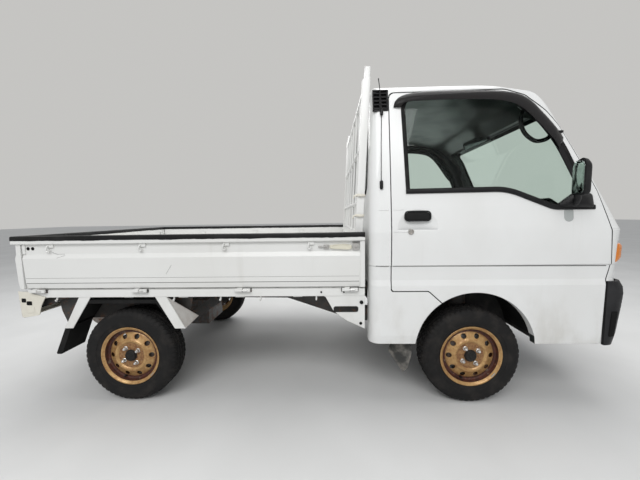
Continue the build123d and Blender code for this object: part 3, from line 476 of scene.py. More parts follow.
class Shape:
    """Gathers mesh forms that become one piece."""

    def __init__(self):
        self.mesh = bmesh.new()

    def skin(self, rings, closed=True, wrap=False, caps=True):
        """Faces between rings of points; wrap joins the last ring to the first."""
        made = [[self.mesh.verts.new(p) for p in ring] for ring in rings]
        count = len(made[0])
        for i in range(len(made) if wrap else len(made) - 1):
            first, second = made[i], made[(i + 1) % len(made)]
            for j in range(count if closed else count - 1):
                k = (j + 1) % count
                self.mesh.faces.new((first[j], first[k], second[k], second[j]))
        if caps and closed and not wrap:
            self.mesh.faces.new(made[0][::-1])
            self.mesh.faces.new(made[-1])

    def prism(self, plane, corners, low, high, steps=5):
        """An outline in a main plane, with thickness from low to high."""
        points = rounded(corners, steps)
        self.skin([[PLACED[plane](a, b, off) for a, b in points] for off in (low, high)])

    def block(self, x, y, z, corner=0.0):
        self.prism("xy", rect(*x, *y, corner), *z)

    def frames(self, box, corner, stages, place, steps=5, wrap=False, shrink=False):
        """A rounded rectangle in stages of (inset, lift), put in space by place(a, b, lift)."""
        low_a, high_a, low_b, high_b = box
        rings = []
        for inset, lift in stages:
            radius = max(corner - inset, 0.0005) if shrink else corner
            outline = rect(low_a + inset, high_a - inset, low_b + inset, high_b - inset, radius)
            rings.append([place(a, b, lift) for a, b in rounded(outline, steps)])
        self.skin(rings, wrap=wrap)

    def taper(self, outline, middle, stages, place, steps=5, caps=True):
        """An outline in stages of (shrink about its middle, lift), put in space by place(a, b, lift)."""
        in_a, in_b = middle
        points = [(a - in_a, b - in_b) for a, b in rounded(outline, steps)]
        self.skin([
            [place(in_a + a * shrink, in_b + b * shrink, lift) for a, b in points] for shrink, lift in stages
        ], caps=caps)

    def lathe(self, centre, axis, profile, steps=40, form=None):
        """Turns a profile of (radius, distance along the axis); form(angle, point) may change a radius."""
        axis = Vector(axis).normalized()
        side = axis.orthogonal().normalized() if abs(axis.y) < 0.9 else Vector((1, 0, 0))
        other = axis.cross(side)
        rings = []
        for i in range(steps):
            angle = math.tau * i / steps
            spoke = side * math.cos(angle) + other * math.sin(angle)
            ring = []
            for j, (radius, reach) in enumerate(profile):
                grow = form(angle, j) if form else 0.0
                ring.append(Vector(centre) + axis * reach + spoke * max(radius + grow, 0.00002))
            rings.append(ring)
        ends_shut = profile[0][0] < 1e-5 and profile[-1][0] < 1e-5
        self.skin(rings, closed=not ends_shut, wrap=True)

    def tube(self, points, radius, sides=8, closed=False, flat=1.0, up=None, smooth=0):
        """A round or flattened bar along a line of points, or along a smooth curve through them."""
        line = curved(points, smooth) if smooth else [Vector(p) for p in points]
        rings, side = [], None
        for share, here, run in walk(line, closed):
            if side is None:
                side = (Vector(up).cross(run) if up else run.orthogonal()).normalized()
            side = (side - run * side.dot(run)).normalized()
            other = run.cross(side)
            size = radius(share) if callable(radius) else radius
            rings.append([
                here + side * (math.cos(math.tau * k / sides) * size)
                + other * (math.sin(math.tau * k / sides) * size * flat)
                for k in range(sides)
            ])
        self.skin(rings, wrap=closed, caps=not closed)

    def bolt(self, at, axis, size):
        """A hexagon head with a domed top, on its washer."""
        self.lathe(at, axis, [(0, 0), (size * 1.5, 0), (size * 1.5, size * 0.2), (0, size * 0.2)], 14)
        head = [(0, 0), (size, 0), (size, size * 0.75), (size * 0.8, size * 0.95), (0, size)]
        self.lathe(at, axis, head, 6)

    def twin(self):
        """Adds the mirror image on the other side of the truck."""
        mesh = self.mesh
        copied = bmesh.ops.duplicate(mesh, geom=mesh.verts[:] + mesh.edges[:] + mesh.faces[:])
        for vert in (g for g in copied["geom"] if isinstance(g, bmesh.types.BMVert)):
            vert.co.y = -vert.co.y

    def mirror(self):
        for vert in self.mesh.verts:
            vert.co.y = -vert.co.y

    def piece(self, name, body="root", look="black", angle=32.0, merge=1e-6, **how):
        """Writes the piece: cleaned, faced outward, dressed and riding on its body."""
        bmesh.ops.remove_doubles(self.mesh, verts=self.mesh.verts[:], dist=merge)
        bmesh.ops.dissolve_degenerate(self.mesh, edges=self.mesh.edges[:], dist=1e-7)
        bmesh.ops.recalc_face_normals(self.mesh, faces=self.mesh.faces[:])
        data = bpy.data.meshes.new(name)
        self.mesh.to_mesh(data)
        self.mesh.free()
        return dressed(name, data, body, look, angle, **how)


def single(name, make, body="root", look="black", twin=False, **how):
    """One piece in the middle of the truck, or with twin one that holds both sides."""
    shape = Shape()
    make(shape)
    if twin:
        shape.twin()
    shape.piece(name, body, look, **how)


def pair(name, make, body="root", look="black", replaces=(), **how):
    """One piece on each side, made for the right one. body and replaces may hold {side}."""
    for side, hand in SIDES:
        shape = Shape()
        make(shape)
        if hand > 0:
            shape.mirror()
        nodes = [node.format(side=side) for node in replaces]
        shape.piece(f"{name}_{side}", body.format(side=side), look, replaces=nodes, **how)


def cut_out(mesh, cutter):
    """A copy of a mesh with a cutter's form taken out of it."""
    bmesh.ops.recalc_face_normals(cutter.mesh, faces=cutter.mesh.faces[:])
    tool = bpy.data.meshes.new("cutter")
    cutter.mesh.to_mesh(tool)
    cutter.mesh.free()
    items = [bpy.data.objects.new("cut", data) for data in (mesh, tool)]
    for item in items:
        bpy.context.scene.collection.objects.link(item)
    cut = items[0].modifiers.new("cut", "BOOLEAN")
    cut.operation, cut.solver, cut.object = "DIFFERENCE", "EXACT", items[1]
    view = bpy.context.evaluated_depsgraph_get()
    carved = bpy.data.meshes.new_from_object(items[0].evaluated_get(view))
    for item in items:
        bpy.data.objects.remove(item)
    return carved


def skin_tree(*nodes):
    """A tree for finding the surface of some CAD nodes."""
    verts, faces = [], []
    for node in nodes:
        mesh = NODES[node].data
        first = len(verts)
        verts += [v.co.copy() for v in mesh.vertices]
        faces += [[first + v for v in face.vertices] for face in mesh.polygons]
    return BVHTree.FromPolygons(verts, faces)


OUTSIDE = skin_tree("door_right", "cab_shell", "front_panel")
PANES = skin_tree("door_glass_right")
SHELL = skin_tree("cab_shell")
FRONT = skin_tree("windscreen", "front_panel", "cab_shell", "front_bumper")
FRONT_LAMPS = skin_tree("headlamps")


def struck(tree, start, way):
    return tree.ray_cast(Vector(start), Vector(way))[0]


def side_y(x, z):
    """The right side's outer surface: the panels, or over the window the glass with its panel's line."""
    hit = struck(OUTSIDE, (x, -2.0, z), (0, 1, 0))
    if hit is not None and hit.y < -0.52:
        return hit.y
    hit = struck(PANES, (x, -2.0, z), (0, 1, 0))
    return hit.y - 0.0105 if hit is not None and hit.y < 0 else -0.6


def front_x(y, z, tree=FRONT):
    hit = struck(tree, (3.0, y, z), (-1, 0, 0))
    return hit.x if hit is not None else 1.6


def back_x(y, z):
    hit = struck(SHELL, (-1.0, y, z), (1, 0, 0))
    return hit.x if hit is not None else 0.29


def ribbon(shape, path, width, out, closed=False, shift=0.0, sink=0.004, ends=1.0):
    """A padded strip that follows the cab's side along a line of (x, z), out from its surface."""
    section = ((-0.5, -sink), (-0.5, out * 0.6), (-0.3, out), (0.3, out), (0.5, out * 0.6), (0.5, -sink))
    rings = []
    for share, here, run in walk(along(path, 0.012, closed), closed):
        side = Vector((-run.y, run.x))
        slim = 1.0 if closed else min(1.0, ends + (1 - ends) * min(share, 1 - share) * 10)
        ring = []
        for across, lift in section:
            spot = here + side * (across * width * slim + shift)
            ring.append((spot.x, side_y(spot.x, spot.y) - lift, spot.y))
        rings.append(ring)
    shape.skin(rings, wrap=closed)


def blocks(*rows):
    """Makes blocks of (x, y, z) and perhaps a corner's radius."""
    def make(shape):
        for row in rows:
            shape.block(*row)
    return make


def plates(*rows):
    """Makes upright plates of (outline in x and z, low y, high y)."""
    def make(shape):
        for row in rows:
            shape.prism("xz", *row)
    return make


# Wheels

RIM_OUT = 0.059
TYRE_OUTER = [
    (0.1582, 0.0505), (0.1655, 0.0588), (0.172, 0.0626), (0.179, 0.0648), (0.186, 0.0674), (0.188, 0.0666),
    (0.1905, 0.069), (0.205, 0.0714), (0.22, 0.0722), (0.231, 0.0712), (0.2325, 0.0698), (0.2345, 0.0704),
    (0.245, 0.0662), (0.253, 0.06), (0.258, 0.053), (0.2604, 0.045), (0.261, 0.04), (0.255, 0.0392),
    (0.255, 0.0345), (0.2615, 0.0337), (0.2618, 0.0165), (0.2555, 0.0157), (0.2555, 0.0093), (0.262, 0.0085),
]
TREAD_FIRST = 12
TREAD_GROOVES = (17, 18, 21, 22)
TREAD_CUTS = 54
RIM_SECTION = [
    (0.03, 0.051), (0.072, 0.051), (0.0785, 0.0566), (0.084, 0.058), (0.0895, 0.0566), (0.097, 0.05),
    (0.125, 0.0395), (0.1305, 0.035), (0.138, 0.035), (0.144, 0.0385), (0.1475, 0.047), (0.15, 0.0545),
    (0.156, 0.0585), (0.1605, 0.0628), (0.165, 0.064), (0.1668, 0.062), (0.164, 0.056), (0.156, 0.048),
    (0.152, 0.038), (0.15, 0.02), (0.134, 0.012), (0.134, -0.012), (0.15, -0.022), (0.152, -0.048),
    (0.164, -0.056), (0.1668, -0.061), (0.165, -0.0625), (0.16, -0.06), (0.148, -0.05), (0.146, -0.025),
    (0.13, -0.015), (0.13, 0.01), (0.144, 0.02), (0.144, 0.03), (0.138, 0.031), (0.1305, 0.031),
    (0.125, 0.0355), (0.097, 0.046), (0.0895, 0.0526), (0.0785, 0.0526), (0.072, 0.047), (0.03, 0.047),
]
RIM_HOLES, HOLE_CIRCLE, HOLE_R = 10, 0.112, 0.014
LUG_CIRCLE = 0.05
# Seat, hexagon and stud of a lug nut: sides and profile
LUG_NUT = (
    (20, [(0, -0.001), (0.0125, -0.001), (0.0125, 0.003), (0.0105, 0.0045), (0, 0.0045)]),
    (6, [(0.0098, 0.003), (0.01, 0.013), (0.0085, 0.0155), (0.0055, 0.0165), (0, 0.0165)]),
    (12, [(0.0058, 0.015), (0.0058, 0.0195), (0.0046, 0.0208), (0, 0.0208)]),
)
HUB_CAP = [
    (0.0335, -0.001), (0.0335, 0.0015), (0.0308, 0.003), (0.029, 0.01), (0.0265, 0.0125), (0.0215, 0.0132),
    (0.02, 0.0118), (0.01, 0.0118), (0.009, 0.0138), (0, 0.0142),
]
DRUM = [
    (0.03, -0.004), (0.112, -0.004), (0.118, 0.003), (0.118, 0.016), (0.112, 0.026), (0.06, 0.034),
    (0.03, 0.034),
]
WEIGHT_CIRCLE = 0.1605


def rim(name, x, hand):
    """A pressed wheel with ten round holes, a ridge round its hub face and a groove inside its lip."""
    axis = Vector((0, hand, 0))
    middle = Vector((x, hand * TRACK_Y, TYRE_R))
    shape = Shape()
    shape.lathe(middle, axis, RIM_SECTION, 80)
    bmesh.ops.recalc_face_normals(shape.mesh, faces=shape.mesh.faces[:])
    cutter = Shape()
    for i in range(RIM_HOLES):
        angle = math.tau * i / RIM_HOLES
        spot = middle + Vector((math.cos(angle), 0, math.sin(angle))) * HOLE_CIRCLE
        cutter.lathe(spot, axis, [(0, 0.02), (HOLE_R, 0.02), (HOLE_R, 0.07), (0, 0.07)], 24)
    solid = bpy.data.meshes.new("rim")
    shape.mesh.to_mesh(solid)
    shape.mesh.clear()
    shape.mesh.from_mesh(cut_out(solid, cutter))

    def reach(spot):
        return math.hypot(spot.x - x, spot.z - TYRE_R)

    def out(spot):
        return hand * spot.y - TRACK_Y

    # The groove's zone takes the painted shade; the hub face is rusty.
    zones = (
        ("groove", lambda c: 0.13 < reach(c) < 0.151 and out(c) > 0.032),
        ("hub_face", lambda c: reach(c) < 0.0722 and out(c) > 0.049),
    )
    nodes = (f"rim_{name}",)
    shape.piece(f"rim_{name}_dressed", f"wheel_{name}", "gold", angle=26, zones=zones, replaces=nodes)


def tyre(name, x, hand):
    """A tyre in the CAD one's form, with rings on its sidewall, four grooves and cuts across its blocks."""
    profile = TYRE_OUTER + [(r, -t) for r, t in reversed(TYRE_OUTER)]
    last = len(profile) - 1

    def cuts(angle, j):
        row = min(j, last - j)
        if row < TREAD_FIRST or row in TREAD_GROOVES:
            return 0.0
        lag = 0.35 if j > last / 2 else 0.0
        phase = (angle * TREAD_CUTS / math.tau + lag + row * 0.05) % 1.0
        return -0.0042 if phase < 0.26 else 0.0

    shape = Shape()
    shape.lathe((x, hand * TRACK_Y, TYRE_R), (0, hand, 0), profile, TREAD_CUTS * 4, form=cuts)
    shape.piece(f"tyre_tread_{name}", f"wheel_{name}", "tyre", replaces=(f"tyre_{name}",), angle=24)


def wheel_fittings(name, x, hand):
    """Lug nuts, hub cap, valve and balance weight on a rim."""
    body = f"wheel_{name}"
    face = hand * (TRACK_Y + RIM_OUT - 0.008)
    out = Vector((0, hand, 0))

    def around(radius, angle, y):
        return (x + radius * math.sin(angle), y, TYRE_R + radius * math.cos(angle))

    def nuts(shape):
        for turn in (55, 145, 235, 325):
            for sides, profile in LUG_NUT:
                shape.lathe(around(LUG_CIRCLE, math.radians(turn), face), out, profile, sides)

    def valve(shape):
        turn = math.radians(200)
        spoke = Vector((math.sin(turn), 0, math.cos(turn)))
        foot = Vector((x, hand * (TRACK_Y + 0.03), TYRE_R)) + spoke * 0.139
        tip = foot + out * 0.03 - spoke * 0.012
        shape.tube([foot, foot.lerp(tip, 0.5), foot.lerp(tip, 0.72)], 0.0042, 10)
        shape.tube([foot.lerp(tip, 0.7), tip], 0.0034, 10)

    def weight(shape):
        y = hand * (TRACK_Y + RIM_OUT + 0.001)
        shape.tube([around(WEIGHT_CIRCLE, 2.2 + i * 0.035, y) for i in range(6)], 0.0036, 8)

    single(f"lug_nuts_{name}", nuts, body, "bright", angle=28)
    single(f"hub_cap_{name}", lambda s: s.lathe((x, face, TYRE_R), out, HUB_CAP, 32), body, "hub", angle=28)
    single(f"valve_{name}", valve, body, "rubber", angle=40)
    single(f"balance_weight_{name}", weight, body, "steel")


def make_wheels():
    for wheel in WHEELS:
        rim(*wheel)
        tyre(*wheel)
        wheel_fittings(*wheel)


# Doors and their glass

WINDOW = [
    (0.485, 1.153, 0.012), (0.985, 1.157, 0.3), (1.215, 1.062, 0.12), (1.405, 1.062, 0.014),
    (1.262, 1.405, 0.6), (1.15, 1.56, 0.16), (1.01, 1.65, 0.15), (0.468, 1.65, 0.07),
]
SIDE_HALF = (
    (0.345, 0.691), (0.39, 0.6965), (0.66, 0.6965), (0.69, 0.689), (0.762, 0.69), (0.767, 0.6965),
    (0.94, 0.6975), (1.212, 0.667), (1.504, 0.621), (1.76, 0.5807),
)
BOWL_X, BOWL_Z, BOWL_R, BOWL_DEEP = 0.532, 1.024, 0.078, 0.01


def half_at(z):
    """Half width of the cab's flat side at a height."""
    return levels_at(SIDE_HALF, z)


def hug(shape):
    """Takes a shape whose y is a distance out from the cab's side, and lays it on the right side."""
    for vert in shape.mesh.verts:
        vert.co.y = -half_at(vert.co.z) - vert.co.y


def pad(shape, x, z, corner, stages, steps=5):
    """A rounded rectangle in stages of (inset, distance out), as a raised or hollowed pad."""
    shape.frames((*x, *z), corner, stages, lambda a, b, out: (a, out, b), steps, shrink=True)


def side_pad(*how):
    """Makes one pad on the cab's side."""
    def make(shape):
        pad(shape, *how)
        hug(shape)
    return make


def make_bowls():
    """Copies of the CAD doors with the bowl behind the handle cut in, which stand for them."""
    tilt = Vector((0, 1, 0.134)).normalized()
    ball = (BOWL_R**2 + BOWL_DEEP**2) / (2 * BOWL_DEEP)
    centre = Vector((BOWL_X, -half_at(BOWL_Z), BOWL_Z)) - tilt * (ball - BOWL_DEEP)
    turns = [math.radians(2 * i) for i in range(12, 0, -1)]
    profile = [(ball * math.sin(turn), ball * math.cos(turn)) for turn in turns]
    for side, hand in SIDES:
        cutter = Shape()
        cutter.lathe(centre, tilt, [(0, profile[0][1]), *profile, (0, ball)], 64)
        if hand > 0:
            cutter.mirror()
        carved = cut_out(NODES[f"door_{side}"].data, cutter)
        if "custom_normal" in carved.attributes:
            carved.attributes.remove(carved.attributes["custom_normal"])
        dressed(f"door_panel_{side}", carved, f"door_{side}", "body", 12.0, replaces=(f"door_{side}",))


def window_seal(shape):
    ribbon(shape, rounded(WINDOW, 10), 0.021, 0.0042, closed=True)


def belt_strip(shape):
    path = rounded([(0.474, 1.148), (0.985, 1.151, 0.3), (1.213, 1.055, 0.12), (1.414, 1.055)], 12)[:-1]
    ribbon(shape, path + [(1.412, 1.055)], 0.023, 0.0075, shift=0.001)
    front = curved([(1.384, 1.075), (1.318, 1.235), (1.245, 1.395), (1.16, 1.52), (1.06, 1.612)])
    ribbon(shape, front, 0.034, 0.003)


VISOR_OUTER = [
    (0.421, 1.592), (0.432, 1.628), (0.47, 1.655), (0.569, 1.672), (0.831, 1.673), (1.0, 1.662), (1.1, 1.63),
    (1.172, 1.556), (1.242, 1.466), (1.279, 1.415),
]
VISOR_INNER = [
    (0.458, 1.59), (0.468, 1.604), (0.492, 1.612), (0.569, 1.617), (0.831, 1.617), (0.978, 1.604),
    (1.06, 1.572), (1.128, 1.505), (1.2, 1.415), (1.248, 1.352),
]
VISOR_SECTION = ((0.0, 0.001), (0.04, 0.01), (0.22, 0.019), (0.55, 0.025), (0.92, 0.026), (1.0, 0.024))


def visor(shape):
    """The smoked visor over the door window: a bulged strip, shut along its upper edge and open below."""
    outer = along(curved(VISOR_OUTER), 0.016)
    inner = curved(VISOR_INNER, 10)
    last = len(outer) - 1
    rings = []
    for i, high in enumerate(outer):
        low = inner[round(i * (len(inner) - 1) / last)]
        lift = 0.3 + 0.7 * min(1.0, min(i, last - i) / 5) ** 0.6
        top, back = [], []
        for share, out in VISOR_SECTION:
            spot = high.lerp(low, share)
            y = side_y(spot.x, spot.y)
            top.append((spot.x, y - out * lift - 0.0015, spot.y))
            back.append((spot.x, y - max(out * lift - 0.001, 0.0), spot.y))
        rings.append(top + back[::-1])
    shape.skin(rings)


def visor_clips(shape):
    for x, z in ((0.86, 1.656), (1.264, 1.44)):
        y = side_y(x, z)
        shape.block((x - 0.011, x + 0.011), (y - 0.012, y + 0.001), (z - 0.004, z + 0.008), 0.002)


def key_lock(shape):
    x, z = 0.495, 0.943
    shape.lathe((x, 0, z), (0, 1, 0), [
        (0, -0.01), (0.015, -0.01), (0.015, 0.0036), (0.0135, 0.0052), (0.0105, 0.0054), (0.0092, 0.0038),
        (0.009, 0.0024), (0, 0.0024),
    ], 28)
    shape.block((x - 0.0012, x + 0.0012), (0.001, 0.0034), (z - 0.006, z + 0.006))
    hug(shape)


def grey_patch(shape):
    """The grey patch below the mirror."""
    pad(shape, (1.262, 1.308), (0.984, 1.056), 0.0225, [(0.0, -0.0006), (0.0, 0.0004), (0.002, 0.0006)], 8)
    for vert in shape.mesh.verts:
        vert.co.y = side_y(vert.co.x, vert.co.z) - vert.co.y


def door_card(shape):
    """The door's inner lining with armrest and speaker grille."""
    outline = [
        (0.425, 0.66, 0.03), (0.585, 0.66, 0.03), (0.7, 0.72, 0.05), (1.25, 0.66, 0.05), (1.4, 0.6, 0.05),
        (1.42, 1.03, 0.04), (1.205, 1.035, 0.1), (0.98, 1.128, 0.2), (0.425, 1.125, 0.03),
    ]
    stages = (
        (1.0, 0.043), (1.0, 0.051), (0.985, 0.056), (0.93, 0.057), (0.92, 0.053), (0.6, 0.054), (0.0, 0.054),
    )
    shape.taper(outline, (0.93, 0.88), stages, lambda x, z, push: (x, push - half_at(z), z), 6, caps=False)
    rest = curved([(0.62, 0.862), (0.7, 0.872), (1.02, 0.88), (1.14, 0.868)])
    shape.tube([(x, -0.622, z) for x, z in rest], lambda s: 0.02 * (0.6 + 1.6 * s * (1 - s)), 12)
    for i in range(9):
        z = 0.7 + i * 0.011
        shape.block((1.27, 1.37), (-0.6395, -0.634), (z - 0.0032, z + 0.0032), 0.002)


def winder(shape):
    spot = Vector((0.955, -0.632, 0.8))
    shape.lathe(spot, (0, 1, 0), [(0, 0), (0.02, 0), (0.018, 0.012), (0.008, 0.015), (0, 0.015)], 24)
    end = spot + Vector((-0.075, 0.014, 0.045))
    shape.tube([spot + Vector((0, 0.012, 0)), spot.lerp(end, 0.6) + Vector((0, 0.006, 0)), end], 0.0055, 10)
    shape.lathe(end, (0, 1, 0), [(0, -0.004), (0.01, -0.004), (0.012, 0.02), (0.008, 0.026), (0, 0.027)], 18)


def mirror_glass(shape):
    """The silvered plate set in the back of a mirror's head, under a thin lip."""
    near, far = Vector((1.2552, -0.7345, 0)), Vector((1.2238, -0.833, 0))
    across = (far - near).normalized()
    back = Vector((across.y, -across.x, 0))
    if back.x > 0:
        back = -back
    wide, high, middle = (far - near).length, 0.148, 1.192
    outline = rounded([(0, 1.118, 0.014), (wide, 1.118, 0.02), (wide, 1.266, 0.034), (0, 1.266, 0.026)], 6)
    rings = []
    for inset, out in ((0.0, -0.002), (0.0, 0.0018), (0.0025, 0.0026)):
        rings.append([
            near + across * (wide / 2 + (a - wide / 2) * (1 - inset * 2 / wide)) + back * out
            + Vector((0, 0, middle + (b - middle) * (1 - inset * 2 / high))) for a, b in outline
        ])
    shape.skin(rings)


def make_doors():
    body = "door_{side}"
    handle = side_pad((0.463, 0.601), (0.995, 1.051), 0.021, [
        (0.003, -0.014), (0.0, -0.003), (0.001, 0.0025), (0.004, 0.004), (0.007, 0.003), (0.009, -0.004),
        (0.009, -0.006),
    ])
    flap = side_pad((0.469, 0.595), (1.001, 1.045), 0.017, [
        (0.0, -0.012), (0.0, -0.003), (0.003, 0.0006), (0.01, 0.0012),
    ])
    pair("window_seal", window_seal, body, "rubber", angle=50)
    pair("belt_strip", belt_strip, body, angle=50)
    pair("window_visor", visor, body, "visor", angle=60)
    pair("visor_clips", visor_clips, body, bevel=0.0015)
    pair("door_handle", handle, body, angle=35)
    pair("door_handle_flap", flap, body, "tape", angle=35)
    pair("door_lock", key_lock, body, "steel", angle=30)
    pair("door_patch", grey_patch, body, "patch")
    pair("door_lining", door_card, body, "trim", angle=40)
    pair("window_winder", winder, body)
    pair("mirror_glass", mirror_glass, body, "mirror", angle=25)


# Mirrors, vents and pressed lines


def mirror_head(shape):
    """The mirror's housing: a shell that bulges forward, with its arm down to the foot on the door."""
    outline = [(-0.058, -0.088, 0.02), (0.058, -0.082, 0.026), (0.058, 0.072, 0.036), (-0.058, 0.09, 0.036)]
    stages = ((0.94, 0.0), (1.0, 0.04), (0.98, 0.45), (0.86, 0.78), (0.62, 0.95), (0.32, 1.0))
    shape.taper(outline, (0, 0), stages, lambda a, b, share: (
        1.24 + 0.04 * share + 0.319 * a, a - 0.783, 1.194 - 0.006 * share + b
    ), 6)
    arm = [(1.266, -0.748, 1.13), (1.288, -0.73, 1.1), (1.3, -0.705, 1.082)]
    shape.tube(arm, lambda s: 0.018 + 0.006 * s, 12, flat=0.7, smooth=6)


def mirror_foot(shape):
    """The black triangle at the window's front corner that carries the mirror."""
    outline = [
        (1.205, 1.058, 0.012), (1.405, 1.052, 0.01), (1.398, 1.12, 0.016), (1.34, 1.15, 0.03),
        (1.245, 1.082, 0.03),
    ]
    stages = ((1.0, -0.006), (1.0, 0.006), (0.96, 0.011), (0.8, 0.02), (0.45, 0.034), (0.3, 0.036))
    shape.taper(outline, (1.325, 1.085), stages, lambda x, z, out: (x, -half_at(z) - out, z))


def vent_frame(shape):
    """The black louvred outlet behind the door, in two columns."""
    low_x, high_x, low_z, high_z = 0.313, 0.3925, 1.576, 1.69
    for x, z in (
        ((low_x, high_x), (low_z, low_z + 0.007)), ((low_x, high_x), (high_z - 0.007, high_z)),
        ((low_x, low_x + 0.006), (low_z, high_z)), ((high_x - 0.006, high_x), (low_z, high_z)),
        ((0.3485, 0.357), (low_z, high_z)),
    ):
        shape.block(x, (-0.004, 0.0035), z, 0.001)
    for row in range(5):
        z = low_z + 0.0165 + row * 0.0203
        blade = ((0.003, -0.0065), (0.003, -0.0045), (-0.006, 0.0085), (-0.008, 0.007))
        shape.skin([[(x, out, z + rise) for out, rise in blade] for x in (low_x + 0.003, high_x - 0.003)])
    hug(shape)


def press_lines(*runs):
    """Makes short lines pressed at (height, low x, high x)."""
    def make(shape):
        for z, low, high in runs:
            ribbon(shape, [(low, z), (high, z)], 0.005, 0.0011, ends=0.3)
    return make


def crease(low, high):
    """Makes the fine dark line along the crease pressed in the cab's side: painted shade of the crease."""
    path = [(x, 0.7645 - 0.0065 * (x - 0.4)) for x in (low, high)]
    return lambda shape: ribbon(shape, path, 0.0042, 0.0006, sink=0.003)


def indicator_lens(shape):
    """The orange lamp's bulged lens, wrapped round the cab's corner."""
    tree = skin_tree("front_indicators", "front_panel", "cab_shell")
    low_z, high_z = 0.774, 0.868
    rings = []
    for i in range(15):
        share = i / 14
        y = -0.683 + 0.089 * share
        ease = min(1.0, min(share, 1 - share) * 9 + 0.08)
        front = []
        for j in range(9):
            up = j / 8
            z = low_z + (high_z - low_z) * up
            edge = min(1.0, min(up, 1 - up) * 6 + 0.1)
            front.append(Vector((front_x(y, z, tree) + 0.016 * ease * edge**0.6, y, z)))
        rings.append(front + [p + Vector((-0.022, 0.004, 0)) for p in front[::-1]])
    shape.skin(rings)


def make_mirrors_and_vents():
    door = "door_{side}"
    # A near-black plate behind the louvres: painted shade of the vent's hollow.
    back = side_pad((0.314, 0.3915), (1.577, 1.689), 0.004, [(0.0, -0.012), (0.0, -0.0075)])
    for side, hand in SIDES:
        for name, make, nodes in (("head", mirror_head, (f"mirror_{side}",)), ("foot", mirror_foot, ())):
            shape = Shape()
            make(shape)
            if hand > 0:
                shape.mirror()
            shape.piece(f"mirror_{name}_{side}", f"door_{side}", angle=45, replaces=nodes)
    pair("vent_louvres", vent_frame, replaces=("cab_vents",))
    pair("vent_hollow_shade", back, look="dark")
    pair("press_lines_rear", press_lines((1.0565, 0.33, 0.396)), look="body")
    pair("press_lines", press_lines((1.0565, 0.404, 0.462), (0.942, 0.404, 0.478)), door, "body")
    pair("crease_line", crease(0.404, 1.484), door, "crease")
    pair("crease_line_rear", crease(0.318, 0.396), look="crease")
    pair("indicator_lens", indicator_lens, look="orange", angle=50, replaces=("front_indicators",))


# Cab outside

SCREEN = [(-0.588, 0.99, 0.06), (0.588, 0.99, 0.06), (0.508, 1.568, 0.06), (-0.508, 1.568, 0.06)]
BACK_LIGHT = [(-0.54, 1.16, 0.06), (0.54, 1.16, 0.06), (0.5, 1.54, 0.06), (-0.5, 1.54, 0.06)]
LAMP_Y, LAMP_Z = -0.505, 0.857
FRONT_PLATE_Z, FRONT_PLATE_LEAN = 0.452, 0.125


def antenna(shape):
    top = (0.3445, 0.016, 1.742)
    shape.tube([top, (0.35, 0.016, 1.69), (0.3575, 0.013, 1.572)], 0.0022, 8)
    shape.lathe(top, (0, 0, 1), [(0, -0.001), (0.0032, -0.001), (0.0032, 0.003), (0, 0.0042)], 10)
    shape.block((0.35, 0.365), (-0.002, 0.02), (1.554, 1.578), 0.004)
    shape.tube([(0.358, 0.0035, 1.556), (0.3525, 0.003, 1.4), (0.348, 0.003, 1.205)], 0.0017, 8)
    pad(shape, (0.3405, 0.357), (1.163, 1.209), 0.007, [
        (0.0, -0.004), (0.0, 0.005), (0.002, 0.008), (0.004, 0.0085),
    ])
    hug(shape)


def frame_strip(corners, width, out, where, way):
    """Makes a rubber frame round a pane, on the surface that where(y, z) gives."""
    line = along(rounded(corners, 8), 0.02, closed=True)
    middle = sum(line, Vector((0, 0))) / len(line)
    section = ((-0.5, -0.006), (-0.5, out * 0.5), (-0.25, out), (0.25, out), (0.5, out * 0.4), (0.5, -0.006))
    rings = []
    for _, here, run in walk(line, True):
        side = Vector((-run.y, run.x))
        if side.dot(here - middle) < 0:
            side = -side
        x, far = (where(here.x + side.x * reach, here.y + side.y * reach) for reach in (0.02, 0.045))
        slope = (far - x) / 0.025
        ring = []
        for across, lift in section:
            edge = here + side * across * width
            ring.append((x + (across * width - 0.02) * slope + way * lift, edge.x, edge.y))
        rings.append(ring)
    return lambda shape: shape.skin(rings, wrap=True)


def wipers(shape):
    for pivot_y, tip_y in ((-0.42, 0.1), (0.2, 0.53)):
        pivot = Vector((front_x(pivot_y, 0.972) + 0.012, pivot_y, 0.972))
        boss = [(0, 0), (0.016, 0), (0.014, 0.018), (0.008, 0.022), (0, 0.022)]
        shape.lathe(pivot - Vector((0.016, 0, 0)), (1, 0, 0.4), boss, 18)
        tip = Vector((front_x(tip_y, 1.035) + 0.02, tip_y, 1.035))
        knee = pivot.lerp(tip, 0.45) + Vector((0.018, 0, 0.01))
        shape.tube([pivot, knee, tip], lambda s: 0.0075 - 0.0035 * s, 8, flat=0.6, smooth=6)
        blade = []
        for i in range(13):
            y, z = tip_y + (pivot_y - tip_y) * (-0.42 + i * 0.075), 1.03 - 0.012 * (i - 6) / 6
            blade.append(Vector((front_x(y, z) + 0.006, y, z)))
        shape.tube(blade, 0.0045, 6, flat=1.4)
        shape.tube([p + Vector((0.008, 0, 0.002)) for p in blade[2:-2]], 0.003, 6)


def cowl(shape):
    """The black louvred strip below the windscreen."""
    for z in (0.938, 0.949, 0.96):
        line = [(front_x(y, z) + 0.0015, y, z) for y in (-0.52 + 0.04 * i for i in range(27))]
        shape.tube(line, 0.0042, 6, flat=0.7)


def front_seams(shape):
    """Thin dark lines laid in the front's surface through (y, z) points."""
    radius = 0.0016
    for points in (
        [(-0.56, 0.925), (-0.4, 0.928), (0.0, 0.93), (0.4, 0.928), (0.56, 0.925)],
        [
            (-0.415, 0.925), (-0.4, 0.8), (-0.36, 0.735), (0.0, 0.728), (0.36, 0.735), (0.4, 0.8),
            (0.415, 0.925),
        ],
    ):
        shape.tube([(front_x(p.x, p.y) - radius * 0.35, p.x, p.y) for p in along(points, 0.02)], radius, 5)


